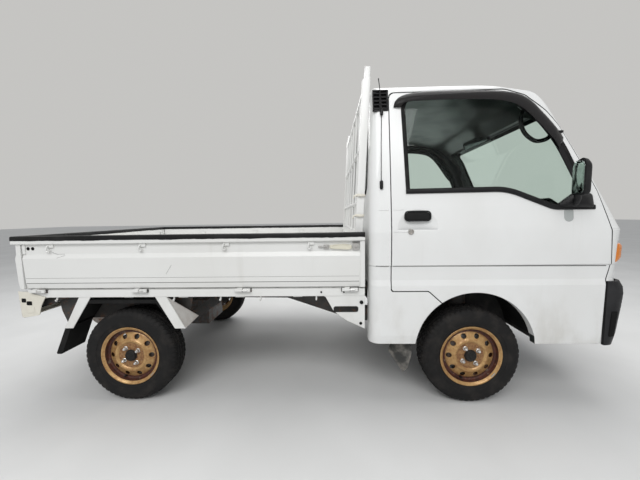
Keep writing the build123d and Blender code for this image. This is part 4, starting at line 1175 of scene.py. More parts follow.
def lamp_bowl(shape):
    """A reflector bowl with its bulb, set in the headlamp behind the lens."""
    x = front_x(LAMP_Y, LAMP_Z, FRONT_LAMPS) - 0.004
    shape.lathe((x, LAMP_Y, LAMP_Z), (1, 0, 0), [
        (0.053, -0.001), (0.05, -0.002), (0.042, -0.01), (0.026, -0.017), (0.012, -0.0195), (0, -0.0195),
    ], 36)
    bulb = [(0.0075, 0.0), (0.008, 0.008), (0.0055, 0.013), (0, 0.0145)]
    shape.lathe((x - 0.02, LAMP_Y, LAMP_Z), (1, 0, 0), bulb, 16)


def lamp_rim(shape):
    """The black rim round a headlamp's lens, on the lens as far as that reaches."""
    wide, high = 0.083, 0.0615

    def place(a, b, lift):
        y, z = LAMP_Y + a, LAMP_Z + b
        x = front_x(max(-0.589, min(-0.431, y)), max(0.801, min(0.914, z)), FRONT_LAMPS)
        return (x + lift - 0.001, y, z)

    stages = ((0.0, -0.006), (0.0, 0.0012), (0.004, 0.0024), (0.008, 0.0012), (0.008, -0.006))
    shape.frames((-wide, wide, -high, high), 0.018, stages, place, 6, wrap=True)


def plate(shape, middle, lean):
    """A blank number plate with a raised rim, facing along +X and leaning back by its lean."""
    wide, high = 0.165, 0.0825
    up = Vector((lean, 0, 1)).normalized()
    out = Vector((up.z, 0, -up.x))
    stages = ((0.0, 0.0), (0.0, 0.0016), (0.003, 0.0024), (0.006, 0.0016), (0.012, 0.0013))

    def place(a, b, lift):
        return Vector(middle) + Vector((0, a, 0)) + up * b + out * lift

    shape.frames((-wide, wide, -high, high), 0.01, stages, place)
    for y in (-0.105, 0.105):
        shape.lathe(place(y, 0.062, 0.001), out, [(0, 0), (0.008, 0), (0.0065, 0.003), (0, 0.0036)], 14)


def front_plate(shape):
    """The front plate, clear of the bumper behind it."""
    spots = [(y, FRONT_PLATE_Z + dz) for y in (-0.165, 0.0, 0.165) for dz in (-0.08, 0.0, 0.08)]
    x = max(front_x(y, z) - FRONT_PLATE_LEAN * (z - FRONT_PLATE_Z) for y, z in spots) + 0.003
    plate(shape, (x, 0.0, FRONT_PLATE_Z), FRONT_PLATE_LEAN)


def roof_ribs(shape):
    """Four long shallow ribs pressed in the roof."""
    for y in (-0.36, -0.13, 0.13, 0.36):
        rings = []
        for i in range(25):
            x = 0.4 + 0.6 * i / 24
            slim = min(1.0, min(i, 24 - i) / 2 + 0.15)
            ring = []
            for across, lift in ((-0.5, -0.002), (-0.28, 0.0025), (0.28, 0.0025), (0.5, -0.002)):
                spot = y + across * 0.036 * slim
                hit = struck(SHELL, (x, spot, 2.2), (0, 0, -1))
                ring.append((x, spot, (hit.z if hit is not None else 1.72) + lift))
            rings.append(ring)
        shape.skin(rings)


def make_cab_outside():
    single("antenna", antenna, angle=40)
    single("windscreen_seal", frame_strip(SCREEN, 0.03, 0.005, front_x, 1), look="rubber", angle=50)
    single("rear_window_seal", frame_strip(BACK_LIGHT, 0.028, 0.004, back_x, -1), look="rubber", angle=50)
    single("wipers", wipers, angle=40)
    single("cowl_louvres", cowl, angle=50)
    single("front_seams", front_seams, look="seam", angle=50)
    single("roof_ribs", roof_ribs, look="body", angle=60)
    single("headlamp_bowls", lamp_bowl, look="chrome", twin=True, angle=50)
    single("headlamp_rims", lamp_rim, twin=True, angle=50)
    single("front_plate", front_plate, look="plate", angle=40)


# Load bed

# The inner faces of the right side gate and the tailgate
GATE_Y, TAIL_X = -0.65, -1.6
GATE_LEVELS = (
    (0.652, 0.024), (0.686, 0.03), (0.821, 0.036), (0.845, 0.027), (0.9, 0.027), (0.9001, 0.044),
    (0.95, 0.044),
)
HOOK_XS = (-1.436, -0.926, -0.472, -0.019)
HINGES = (-1.524, -0.956, -0.391, 0.182)
REAR_STAY = [(-1.3075, 0.603), (-1.2415, 0.603), (-1.357, 0.427), (-1.403, 0.427)]
FRONT_STAY = [(-0.8795, 0.603), (-0.816, 0.603), (-0.72, 0.425), (-0.779, 0.425)]
STAY_Y = (-0.675, -0.671)
# The rear mudguard's outer and inner line
GUARD_OUTER = [(-1.398, 0.428), (-1.276, 0.585), (-0.868, 0.585), (-0.752, 0.428)]
GUARD_INNER = [(-1.389, 0.425), (-1.271, 0.578), (-0.873, 0.578), (-0.76, 0.425)]
# The front wheel's arch: middle and radii of its liner
ARCH_X, ARCH_Z, ARCH_OUTER, ARCH_INNER = 0.838, 0.31, 0.343, 0.339
POST_Y = 0.62


def gate_out(z):
    """How far a gate's outer face stands from its inner one."""
    return levels_at(GATE_LEVELS, z)


def tape(shape, low, high, seed, side=True):
    """The black tape over a gate's rail, with an uneven lower edge."""
    count = round((high - low) / 0.014)
    rings = []
    for i in range(count + 1):
        at = low + (high - low) * i / count
        slow, fast = noise.noise(Vector((at * 7.0, seed, 0))), noise.noise(Vector((at * 40, seed, 5)))
        edge = 0.9185 + (slow * 0.004 + fast * 0.0018)
        section = [
            (0.0448, edge), (0.045, 0.936), (0.0425, 0.942), (0.038, 0.9438), (0.006, 0.9438),
            (0.0015, 0.942), (-0.0008, 0.936), (-0.0008, edge + 0.002), (0.001, edge + 0.002),
            (0.0025, 0.935), (0.04, 0.935), (0.043, edge),
        ]
        rings.append([(at, GATE_Y - out, z) if side else (TAIL_X - out, at, z) for out, z in section])
    shape.skin(rings)


def gate_lines(shape):
    """Dark lines along the side gate's lower part: the lowest at its bottom gap, the two above as painted
    shade in pressed grooves.
    """
    for z, high in ((0.653, 0.0028), (0.684, 0.0026), (0.712, 0.001)):
        face = GATE_Y - gate_out(z)
        shape.block((-1.592, 0.232), (face - 0.0004, face + 0.003), (z - high / 2, z + high / 2))


# A side gate's end posts, the plate that carries its rail past the tailgate's corner, and the ribs inside
gate_posts = blocks(
    ((0.236, 0.262), (-0.6872, -0.668), (0.654, 0.899), 0.002),
    ((-1.6465, -1.594), (-0.694, -0.6872), (0.901, 0.9355), 0.001),
    ((-1.595, -1.5785), (-0.6835, -0.67), (0.846, 0.899), 0.002),
    *(((x - 0.024, x + 0.024), (-0.652, -0.643), (0.658, 0.896), 0.006) for x in (-1.2, -0.667, -0.2)),
    *(((-1.59, 0.19), (-0.652, -0.6465), (z - 0.012, z + 0.012), 0.004) for z in (0.72, 0.83)),
)


def rope_hooks(shape):
    """Rope hooks under the side gate's rail."""
    for x in HOOK_XS:
        shape.block((x - 0.019, x + 0.017), (-0.684, -0.6765), (0.88, 0.9005), 0.002)
        shape.tube([(x - back, y, z) for back, y, z in (
            (0.01, -0.681, 0.893), (0.013, -0.69, 0.884), (0.016, -0.6905, 0.866), (0.011, -0.6895, 0.8585),
            (0.004, -0.689, 0.862), (0.002, -0.69, 0.874),
        )], 0.0042, 8, smooth=4)


def latch(shape):
    """The side gate's latch: a long pressed lever hooked on the front post."""
    outline = [
        (0.076, 0.86, 0.008), (0.176, 0.853, 0.01), (0.194, 0.858, 0.006), (0.192, 0.878, 0.006),
        (0.15, 0.884, 0.012), (0.078, 0.878, 0.008),
    ]
    stages = (
        (1.0, -0.6775), (1.0, -0.6855), (0.96, -0.6885), (0.82, -0.6895), (0.78, -0.6878), (0.3, -0.6875),
    )
    shape.taper(outline, (0.135, 0.868), stages, lambda x, z, y: (x, y, z))


def latch_fittings(shape):
    """The dark catch, spring and pivots beside the latch lever."""
    shape.block((0.198, 0.232), (-0.6885, -0.677), (0.852, 0.886), 0.004)
    shape.block((0.046, 0.074), (-0.686, -0.677), (0.858, 0.88), 0.004)
    shape.tube([(0.052, -0.686, 0.869), (0.03, -0.686, 0.8705), (0.018, -0.683, 0.87)], 0.004, 8)
    shape.tube([
        (0.196 + i * 0.0009, -0.686 + 0.0042 * math.cos(i * 1.1), 0.892 + 0.0042 * math.sin(i * 1.1))
        for i in range(44)
    ], 0.0011, 5)
    shape.bolt((0.215, -0.688, 0.869), (0, -1, 0), 0.006)
    shape.bolt((0.06, -0.6855, 0.869), (0, -1, 0), 0.005)


def gate_bolts(shape):
    """Dark bolts in the recess at the gate's rear end."""
    for x in (-1.566, -1.54):
        shape.bolt((x, -0.6765, 0.8755), (0, -1, 0), 0.0062)


# The hinges' backing strips, black round and between their plates as painted shadow, and two flat plates at
# each
hinge_backing_shade = blocks(*(((x - 0.046, x + 0.046), (-0.683, -0.6765), (0.63, 0.65), 0.002) for x in HINGES))
gate_leaves = blocks(*(
    ((x + shift - 0.0195, x + shift + 0.0195), (-0.6965, -0.6835), (0.6335, 0.65), 0.003)
    for x in HINGES for shift in (-0.0225, 0.0225)
))


def gate_scratches(shape):
    """Fine scratches on the right side gate."""
    for line in (
        ((-0.772, 0.781), (-0.788, 0.757), (-0.806, 0.731)),
        ((-1.433, 0.854), (-1.403, 0.843), (-1.361, 0.844)),
        ((-1.405, 0.824), (-1.382, 0.829), (-1.359, 0.838)),
    ):
        shape.tube([(x, GATE_Y - 0.0001 - gate_out(z), z) for x, z in line], 0.0007, 4)


def bumper_pocket_shade(shape):
    """A dark sheet laid on the bumper's end: painted shade of its pocket."""
    rings = []
    for inset, lift in ((0.0, 0.0012), (0.003, -0.001)):
        low, high = 0.385 + inset, 0.52 - inset
        corners = [
            (1.512 + inset, low, 0.008), (1.546 - inset, low, 0.008), (1.556 - inset, high, 0.008),
            (1.52 + inset, high, 0.008),
        ]
        ring = []
        for x, z in rounded(corners):
            hit = struck(FRONT, (x, -2.0, z), (0, 1, 0))
            ring.append((x, (hit.y if hit else -0.68) - 0.0018 + lift, z))
        rings.append(ring)
    shape.skin(rings)


def tail_fittings(shape):
    """Hinge straps, pressed panels and inner ribs of the tailgate."""
    for y in (-0.52, 0.0, 0.52):
        shape.block((-1.6445, -1.63), (y - 0.03, y - 0.002), (0.644, 0.664), 0.002)
    stages = ((0.0, -0.001), (0.004, 0.0022), (0.012, 0.0024), (0.018, 0.0004))
    for low, high in ((-0.64, -0.04), (0.04, 0.64)):
        shape.frames((low, high, 0.7, 0.808), 0.02, stages, lambda y, z, lift: (
            TAIL_X - gate_out(z) - lift, y, z
        ))
    for y in (-0.6, -0.2, 0.2, 0.6):
        shape.block((-1.601, -1.592), (y - 0.022, y + 0.022), (0.66, 0.896), 0.006)


def tail_latches(shape):
    for hand in (-1, 1):
        y = hand * 0.66
        wide = sorted((y - hand * 0.052, y + hand * 0.014))
        shape.block((-1.64, -1.627), wide, (0.858, 0.89), 0.004)
        shape.tube([
            (-1.639, y, 0.874), (-1.644, y - hand * 0.02, 0.868), (-1.644, y - hand * 0.105, 0.862),
        ], 0.0048, 10)
        shape.bolt((-1.6395, y - hand * 0.01, 0.874), (-1, 0, 0), 0.006)


def bed_ribs(shape):
    """The long ribs pressed in the bed's floor."""
    section = ((-0.03, 0.0), (-0.024, 0.9), (-0.018, 1.0), (0.018, 1.0), (0.024, 0.9), (0.03, 0.0))
    for i in range(13):
        y = -0.576 + i * 0.096
        shape.skin([
            [(x, y + a, 0.6496 + b * high) for a, b in section]
            for x, high in ((-1.575, 0.0), (-1.562, 0.0048), (0.168, 0.0048), (0.181, 0.0))
        ])


# The pressed carrier under the bed's corner: a side plate, a flange, a foot, a back plate and a square patch
lamp_bracket = plates(
    ([
        (-1.6455, 0.64), (-1.59, 0.634, 0.01), (-1.493, 0.606), (-1.52, 0.56, 0.02), (-1.536, 0.505, 0.012),
        (-1.636, 0.489, 0.012),
    ], -0.68, -0.6765),
    ([(-1.6455, 0.612), (-1.6455, 0.6), (-1.505, 0.595), (-1.505, 0.604)], -0.6755, -0.56),
    ([(-1.636, 0.5), (-1.636, 0.493), (-1.552, 0.512), (-1.552, 0.518)], -0.6755, -0.46),
    ([(-1.59, 0.6), (-1.59, 0.505), (-1.585, 0.505), (-1.585, 0.6)], -0.672, -0.44),
    ([
        (-1.605, 0.547, 0.003), (-1.56, 0.549, 0.003), (-1.56, 0.52, 0.003), (-1.605, 0.514, 0.003),
    ], -0.6812, -0.6795),
)


# Dark plates on the bracket's face: painted shade of its two holes.
def lamp_bracket_hole_shade(shape):
    for x, z, wide in ((-1.617, 0.589, 0.012), (-1.587, 0.573, 0.015)):
        corners = ((-wide, -0.011), (wide, -0.012), (wide, 0.01), (-wide, 0.011))
        shape.prism("xz", [(x + a, z + b, 0.004) for a, b in corners], -0.6815, -0.679)


def lamp_part(low, high):
    """Makes one colour's part of a rear lamp between two y."""
    stages = ((0.0, -1.5875), (0.0, -1.628), (0.003, -1.6365), (0.009, -1.6395))
    return lambda shape: shape.frames((low, high, 0.504, 0.584), 0.008, stages, lambda y, z, x: (x, y, z))


def stay_gusset(shape):
    """The thin dirty gusset that stiffens the front stay inward."""
    edge = [Vector((x, -0.671, z)) for x, z in FRONT_STAY[1:3]]
    front = edge + [Vector((-0.668, -0.62, 0.478)), Vector((-0.77, -0.65, 0.56))]
    shape.skin([front, [p + Vector((-0.003, 0.0, -0.002)) for p in front]])


# The black mudguard over the rear wheel, its lip and its flap
rear_guard = plates(
    (GUARD_OUTER + GUARD_INNER[::-1], -0.669, -0.5),
    (GUARD_OUTER + [(-0.775, 0.428), (-0.88, 0.566), (-1.264, 0.566), (-1.375, 0.428)], -0.6705, -0.6675),
    ([(-1.404, 0.436), (-1.372, 0.436), (-1.44, 0.275, 0.006), (-1.474, 0.275, 0.006)], -0.668, -0.52),
)
# Black sheets round the rear wheel, up to the bed: painted shade of the wheel well and the space under the
# bed
rear_wheel_shade_sheets = plates(
    (GUARD_INNER, -0.503, -0.5),
    ([(-1.5, 0.6), (-1.28, 0.6), (-1.394, 0.428), (-1.455, 0.428), (-1.485, 0.505)], -0.6, -0.596),
    ([(-1.585, 0.6), (-1.585, 0.53), (-1.48, 0.56, 0.05), (-1.4, 0.6)], -0.64, -0.632),
    ([(-0.87, 0.6), (-0.7, 0.6), (-0.72, 0.52), (-0.758, 0.436)], -0.606, -0.602),
)


def front_guard(shape):
    """The liner in the front wheel's arch."""
    low, high = math.radians(-3), math.radians(183)
    turns = [low + (high - low) * i / 28 for i in range(29)]
    outer, inner = (
        [(ARCH_X + radius * math.cos(turn), ARCH_Z + radius * math.sin(turn)) for turn in turns]
        for radius in (ARCH_OUTER, ARCH_INNER)
    )
    kept = [(a, b) for a, b in zip(outer, inner) if a[1] > 0.345 and a[0] < 1.19]
    shape.prism("xz", [a for a, _ in kept] + [b for _, b in kept[::-1]], -0.655, -0.395)


def front_flap(shape):
    """The dusty flap behind the front wheel, hung at a slant."""
    outline = rounded([
        (0.512, 0.345), (0.517, 0.275, 0.05), (0.498, 0.19, 0.04), (0.476, 0.156, 0.006),
        (0.448, 0.205, 0.04), (0.404, 0.262, 0.02), (0.414, 0.305, 0.02), (0.452, 0.345),
    ], 6)
    shape.skin([[(x, -0.66 + (0.512 - x) * 0.55 + thick, z) for x, z in outline] for thick in (0.0, 0.005)])
    shape.block((0.446, 0.516), (-0.662, -0.58), (0.33, 0.352), 0.004)


def guard_x(z):
    """Where the leaning guard frame stands at a height."""
    return 0.222 + 0.059 * (z - 0.65) / 1.147


def guard_frame(shape):
    """The guard frame: leaning posts with flat heads, three cross bars, five uprights and a low board."""
    for y in (-POST_Y, POST_Y):
        rings = []
        for z, deep in ((0.652, 0.0205), (1.728, 0.0205), (1.735, 0.015), (1.792, 0.014)):
            x = guard_x(z) + (0.0205 - deep) * 0.6
            rings.append([(x + a, y + b, z) for a, b in rounded(rect(-deep, deep, -0.012, 0.012, 0.004), 3)])
        shape.skin(rings)
    for z in (1.1, 1.4, 1.7):
        shape.tube([(guard_x(z), y, z) for y in (-0.615, 0.0, 0.615)], 0.013, 14)
    for i in range(5):
        y = -0.4214 + i * 0.2107
        shape.tube([(guard_x(z), y, z) for z in (0.935, 1.7)], 0.0125, 4, up=(0, 1, 0))
    low, high = guard_x(0.652), guard_x(0.943)
    board = [(low - 0.01, 0.652), (low + 0.01, 0.652), (high + 0.01, 0.943), (high - 0.01, 0.943)]
    shape.prism("xz", board, -0.612, 0.612)
    for z in (0.72, 0.8, 0.88):
        x = guard_x(z) - 0.011
        shape.block((x - 0.006, x + 0.002), (-0.56, 0.56), (z - 0.014, z + 0.014), 0.003)
    for y in (-POST_Y, POST_Y):
        for z in (0.7, 0.9):
            shape.bolt((guard_x(z) - 0.0205, y, z), (-1, 0, 0), 0.0075)


def guard_ties(shape):
    """Worn cord hooks bound to the near post."""
    for z in (1.03, 1.137):
        x = guard_x(z)
        shape.lathe((x, -POST_Y, z), (0.05, 0, 1), [
            (0.0245, -0.007), (0.0262, -0.004), (0.025, -0.001), (0.0262, 0.003), (0.0248, 0.007),
            (0.0215, 0.007), (0.0215, -0.007),
        ], 20)
        hook = [(x - 0.022, -0.628, z), (x - 0.034, -0.634, z - 0.003), (x - 0.038, -0.632, z - 0.016)]
        shape.tube(hook, 0.0042, 8, smooth=6)


def bracket_bolts(shape):
    """A round knob and bolts on the bed's front bracket."""
    knob = [(0, 0), (0.0095, 0), (0.0095, 0.006), (0.007, 0.009), (0, 0.0095)]
    shape.lathe((0.244, -0.674, 0.568), (0, -1, 0), knob, 20)
    for x, z in ((0.03, 0.625), (0.15, 0.625), (0.24, 0.452)):
        shape.bolt((x, -0.6745, z), (0, -1, 0), 0.0055)


def rope_pins(shape):
    for x in (-1.44, -0.778, 0.003, -0.3, -0.52):
        path = [(x, -0.664, 0.604), (x, -0.666, 0.592), (x, -0.672, 0.582), (x, -0.6765, 0.588)]
        shape.tube(path, 0.0045, 8, smooth=4)


def make_bed():
    gate = "side_gate_{side}"
    for side, hand in SIDES:
        strip = Shape()
        tape(strip, -1.6465, 0.262, 3.0 + hand)
        if hand > 0:
            strip.mirror()
        strip.piece(f"rail_tape_{side}", f"side_gate_{side}", "tape", angle=40)
    rear = partial(tape, low=-0.6855, high=0.6855, seed=9.0, side=False)
    single("rail_tape_rear", rear, "tailgate", "tape", angle=40)
    pair("gate_lines", gate_lines, gate, "seam")
    pair("gate_posts", gate_posts, gate, "gate", bevel=0.0012)
    pair("rope_hooks", rope_hooks, gate, "gate", angle=45)
    pair("gate_latch", latch, gate, "latch", angle=40)
    pair("gate_latch_fittings", latch_fittings, gate, "worn", angle=35)
    pair("gate_bolts", gate_bolts, gate, "dark")
    pair("gate_hinge_leaves", gate_leaves, gate, "gate", bevel=0.0008)
    pair("hinge_backing_shade_strips", hinge_backing_shade, look="chassis")
    pair("bumper_pocket_shade", bumper_pocket_shade, look="dark")
    single("tailgate_fittings", tail_fittings, "tailgate", "gate", angle=40)
    single("tailgate_latches", tail_latches, "tailgate", "chassis", angle=40)
    single("bed_ribs", bed_ribs, look="bed", angle=40)
    single("gate_scratches", gate_scratches, "side_gate_right", "crease")
    single("guard_dressed", guard_frame, look="frame_white", angle=35, replaces=("guard_frame",))
    sill_end = blocks(((-1.6455, -1.594), (-0.676, -0.646), (0.603, 0.636), 0.002))
    pair("sill_end", sill_end, look="frame_white", bevel=0.0015)
    pair("rope_pins", rope_pins, look="frame_white")
    pair("bracket_bolts", bracket_bolts, look="dark")
    for name, make, look, *nodes in (
        ("lamp_carrier", lamp_bracket, "cream", "lamp_brackets"),
        ("lamp_carrier_hole_shade", lamp_bracket_hole_shade, "dark"),
        ("rear_lamp_red", lamp_part(-0.666, -0.6), "red", "rear_lamps"),
        ("rear_lamp_orange", lamp_part(-0.6, -0.53), "orange"),
        ("rear_lamp_clear", lamp_part(-0.53, -0.457), "clear"),
        ("rear_stay", plates((REAR_STAY, *STAY_Y)), "frame_white", "fender_stays"),
        ("front_stay", plates((FRONT_STAY, *STAY_Y)), "frame_white"),
        ("stay_gusset", stay_gusset, "worn"),
        ("rear_mudguard", rear_guard, "rubber", "splash_guards"),
        ("rear_wheel_shade_sheets", rear_wheel_shade_sheets, "chassis"),
        ("front_liner", front_guard, "rubber"),
        ("front_flap", front_flap, "flap"),
    ):
        pair(name, make, look=look, replaces=nodes, angle=40)
    single("guard_ties", guard_ties, look="cream", angle=50)


# Inside the cab

SEAT_YS = (("right", -0.31), ("left", 0.31))
# Name, x and z of the middle, half sizes, turn, crown, grooves, and how full the padding is
SEAT_PARTS = (
    ("cushion", 0.7, 0.738, (0.258, 0.24, 0.062), -0.03, 0.35, (-0.45, 0.1, 0.62), 0.7),
    ("back", 0.424, 0.96, (0.205, 0.236, 0.046), -1.49, 0.35, (-0.5, 0.0, 0.5), 0.7),
    ("headrest", 0.39, 1.232, (0.058, 0.125, 0.036), -1.49, 0.25, (), 0.8),
)
WHEEL_AXIS = Vector((-math.cos(math.radians(40)), 0, math.sin(math.radians(40))))
WHEEL_HUB = Vector((1.12, -0.32, 1.01))
WHEEL_R = 0.185
MIRROR_HEAD = Vector((1.163, 0.0, 1.556))
MIRROR_ACROSS = Vector((0.5, -0.84, 0.2)).normalized()
MIRROR_UP = Vector((-0.16, 0.08, 1.0)).normalized()


def superquad(shape, centre, half, turn, crown, grooves):
    """A crowned cushion: a rounded box with swelling faces, turned about y, with grooves across it."""
    power, around, up = 0.32, 40, 28
    sink = Matrix.Rotation(turn, 3, "Y")

    def signed(value, exponent):
        return math.copysign(abs(value) ** exponent, value)

    rings = []
    for i in range(up + 1):
        lat = -math.pi / 2 + math.pi * i / up
        ring = []
        for j in range(around):
            lon = math.tau * j / around
            x = signed(math.cos(lat), power) * signed(math.cos(lon), power)
            y = signed(math.cos(lat), power) * signed(math.sin(lon), power)
            z = signed(math.sin(lat), power * 0.9)
            swell = 1.0 + crown * (1 - min(1.0, x * x)) * (1 - min(1.0, y * y))
            dip = sum(math.exp(-((x - g) / 0.035) ** 2) for g in grooves) * 0.1 if z > 0 else 0.0
            spot = Vector((x * half[0], y * half[1], z * half[2] * (swell / (1 + crown) - dip)))
            ring.append(Vector(centre) + sink @ spot)
        rings.append(ring)
    shape.skin(rings)


def seat_frames(shape):
    for _, y in SEAT_YS:
        shape.block((0.45, 0.94), (y - 0.215, y + 0.215), (0.668, 0.69), 0.01)
        for dy in (-0.05, 0.05):
            shape.tube([(0.405, y + dy, 1.15), (0.395, y + dy, 1.215)], 0.005, 8)
        for x in (0.39, 0.45):
            shape.tube([(x, y - 0.25, 0.72), (x - 0.02, y - 0.25, 0.8)], 0.012, 8)


def make_seats():
    nodes = ("seats",)
    for side, y in SEAT_YS:
        for name, x, z, half, turn, crown, grooves, fill in SEAT_PARTS:
            shape = Shape()
            superquad(shape, (x, y, z), half, turn, crown, grooves)
            zones = (("vinyl", lambda c, y=y, wide=half[1] * 0.8: abs(c.y - y) > wide),)
            made = shape.piece(
                f"seat_{name}_{side}", look="cloth", angle=60, merge=2e-4, zones=zones, replaces=nodes
            )
            nodes = ()
    single("seat_frames", seat_frames, look="dash", angle=40)


def make_steering():
    side = Vector((0, 1, 0))
    up = WHEEL_AXIS.cross(side).normalized()
    if up.z < 0:
        up = -up
    base = WHEEL_HUB - WHEEL_AXIS * 0.085

    def wheel(shape):
        turns = (math.tau * i / 64 for i in range(64))
        ring = [WHEEL_HUB + side * math.cos(turn) * WHEEL_R + up * math.sin(turn) * WHEEL_R for turn in turns]
        shape.tube(ring, 0.0125, 14, closed=True)
        for turn in map(math.radians, (-14, 194, 270)):
            spoke = side * math.cos(turn) + up * math.sin(turn)
            steps = ((0.04, 0.026), (0.09, 0.024), (0.14, 0.012), (0.182, 0.0))
            line = [WHEEL_HUB + spoke * reach - WHEEL_AXIS * drop for reach, drop in steps]
            shape.tube(line, lambda s: 0.022 - 0.009 * s, 10, flat=0.45, up=WHEEL_AXIS, smooth=5)
        shape.lathe(WHEEL_HUB - WHEEL_AXIS * 0.04, WHEEL_AXIS, [
            (0, -0.02), (0.035, -0.02), (0.062, 0.0), (0.066, 0.018), (0.058, 0.032), (0.035, 0.038),
            (0, 0.039),
        ], 40)

    def stalks(shape):
        for hand in (-1, 1):
            tip = base + side * hand * 0.15 + up * 0.03 + WHEEL_AXIS * 0.01
            shape.tube([base + side * hand * 0.03, base.lerp(tip, 0.6), tip], lambda s: 0.006 + 0.003 * s, 10)
        shroud = [(0, -0.06), (0.044, -0.06), (0.05, 0.0), (0.046, 0.042), (0, 0.044)]
        shape.lathe(WHEEL_HUB - WHEEL_AXIS * 0.11, WHEEL_AXIS, shroud, 28)

    single("steering_wheel_dressed", wheel, "steering_wheel", "dash", angle=45, replaces=("steering_wheel",))
    single("column_stalks", stalks, look="dash", angle=40)


def dashboard(shape):
    """Hoods and box on the dashboard, air outlets, radio, glove box and knobs."""
    hood = [(1.272, 1.0), (1.262, 1.098, 0.025), (1.335, 1.118, 0.04), (1.44, 1.05, 0.05), (1.48, 0.985)]
    for outline, *wide in (
        (hood, -0.49, -0.16),
        ([(1.33, 0.99), (1.335, 1.034, 0.02), (1.43, 1.04, 0.03), (1.52, 0.965)], -0.56, 0.56),
        ([(1.4, 1.03), (1.402, 1.082, 0.012), (1.44, 1.084, 0.012), (1.448, 1.02)], 0.08, 0.28),
    ):
        shape.prism("xz", outline, *wide)
    for y in (-0.545, -0.115, 0.115, 0.545):
        for z in (0.902, 0.914, 0.926, 0.938, 0.95):
            shape.block((1.246, 1.262), (y - 0.042, y + 0.042), (z - 0.0035, z + 0.0035), 0.001)
    shape.block((1.247, 1.262), (-0.085, 0.085), (0.815, 0.868), 0.003)
    shape.block((1.242, 1.262), (-0.08, 0.08), (0.87, 0.892), 0.003)
    shape.block((1.248, 1.262), (0.17, 0.5), (0.79, 0.87), 0.004)
    shape.block((1.23, 1.262), (0.3, 0.37), (0.862, 0.87), 0.002)
    for y in (-0.05, 0.0, 0.05):
        shape.lathe((1.246, y, 0.8), (-1, 0, 0), [(0, 0), (0.016, 0), (0.014, 0.016), (0, 0.018)], 20)


def dials(shape):
    face = [(0, -0.002), (0.0288, -0.002), (0.0279, 0.001), (0, 0.001)]
    for y in (-0.362, -0.278):
        shape.lathe((1.266, y, 1.05), (-1, 0, 0.12), face, 32)


def controls(shape):
    """Gear lever, hand brake and pedals."""
    shape.tube([(1.045, -0.06, 0.455), (1.075, -0.06, 0.66), (1.01, -0.065, 0.82)], 0.0065, 10, smooth=6)
    knob = [(0, 0), (0.014, 0), (0.024, 0.022), (0.02, 0.044), (0, 0.052)]
    shape.lathe((1.01, -0.065, 0.815), (-0.2, 0, 1), knob, 20)
    brake = [(0.985, 0.02, 0.675), (0.9, 0.02, 0.76), (0.82, 0.02, 0.8)]
    shape.tube(brake, lambda s: 0.01 + 0.004 * s, 10, smooth=6)
    for y, x in ((-0.18, 1.325), (-0.315, 1.335), (-0.43, 1.345)):
        shape.tube([(x + 0.06, y, 0.76), (x + 0.045, y, 0.65), (x, y, 0.565)], 0.006, 8, smooth=6)
        shape.block((x - 0.012, x + 0.004), (y - 0.028, y + 0.028), (0.535, 0.59), 0.003)


def mirror_plate(shape, stages, way):
    """A rounded plate at the inner mirror's head, in stages of (grow, lift), with lift forward or back."""
    normal = MIRROR_ACROSS.cross(MIRROR_UP).normalized()
    if normal.x * way < 0:
        normal = -normal
    shape.taper(rect(-0.095, 0.095, -0.03, 0.03, 0.014), (0, 0), stages, lambda a, b, lift: (
        MIRROR_HEAD + MIRROR_ACROSS * a + MIRROR_UP * b + normal * lift
    ), 4)


def inner_mirror(shape):
    mirror_plate(shape, ((0.97, -0.012), (1.0, -0.008), (1.0, 0.01), (0.8, 0.02), (0.4, 0.022)), 1)
    stalk = [(1.112, 0.0, 1.664), (1.15, 0.0, 1.64), (1.172, 0.0, 1.6), (1.165, 0.0, 1.566)]
    shape.tube(stalk, 0.0065, 10, smooth=6)
    shape.block((1.085, 1.135), (-0.022, 0.022), (1.658, 1.676), 0.006)


def inner_mirror_face(shape):
    """The inner mirror's silvered face, towards the driver."""
    mirror_plate(shape, ((0.9, 0.008), (0.9, 0.0135), (0.86, 0.014)), -1)


def grab_handle(shape):
    """The driver's grab handle on the windscreen pillar."""
    shape.tube([
        (1.128, -0.56, 1.585), (1.128, -0.535, 1.56), (1.14, -0.522, 1.51), (1.168, -0.52, 1.462),
        (1.212, -0.532, 1.424), (1.25, -0.552, 1.425), (1.262, -0.572, 1.44),
    ], 0.0135, 12, flat=0.8, smooth=6)


def seat_belt(shape):
    strap = [(0.352, -0.585, 1.42), (0.356, -0.58, 1.1), (0.39, -0.585, 0.72)]
    shape.tube(strap, 0.0235, 4, flat=0.05, up=(0, 1, 0), smooth=8)
    shape.block((0.335, 0.362), (-0.6, -0.56), (1.405, 1.45), 0.006)


def make_inside():
    make_seats()
    make_steering()
    single("dashboard_details", dashboard, look="dash", bevel=0.0015, angle=35)
    single("dial_faces", dials, look="dial", angle=30)
    single("pedals_and_levers", controls, angle=40)
    single("inner_mirror", inner_mirror, angle=45)
    single("inner_mirror_face", inner_mirror_face, look="silver_dim", angle=45)
    single("grab_handle", grab_handle, angle=45)
    pair("seat_belt", seat_belt, look="trim", angle=40)


# Rear plate and brake drums


def rear_plate(shape):
    plate(shape, (0.0, 0.0, 0.0), 0.0)
    for vert in shape.mesh.verts:
        vert.co = (-1.5985 - vert.co.x, vert.co.y, vert.co.z + 0.5)


def make_rest():
    lamp = blocks(
        ((-1.6, -1.572), (-0.045, 0.045), (0.59, 0.602), 0.003),
        ((-1.596, -1.578), (-0.03, 0.03), (0.582, 0.592), 0.002),
    )
    single("plate_lamp", lamp, bevel=0.001)
    single("rear_plate", rear_plate, look="plate", angle=40)
    for name, x, hand in WHEELS:
        end, side = name.split("_")
        drum = Shape()
        drum.lathe((x, hand * TRACK_Y, TYRE_R), (0, hand, 0), DRUM, 40)
        drum.piece(f"brake_drum_{name}", f"knuckle_{side}" if end == "front" else "root", "cast", angle=30)


# Stage


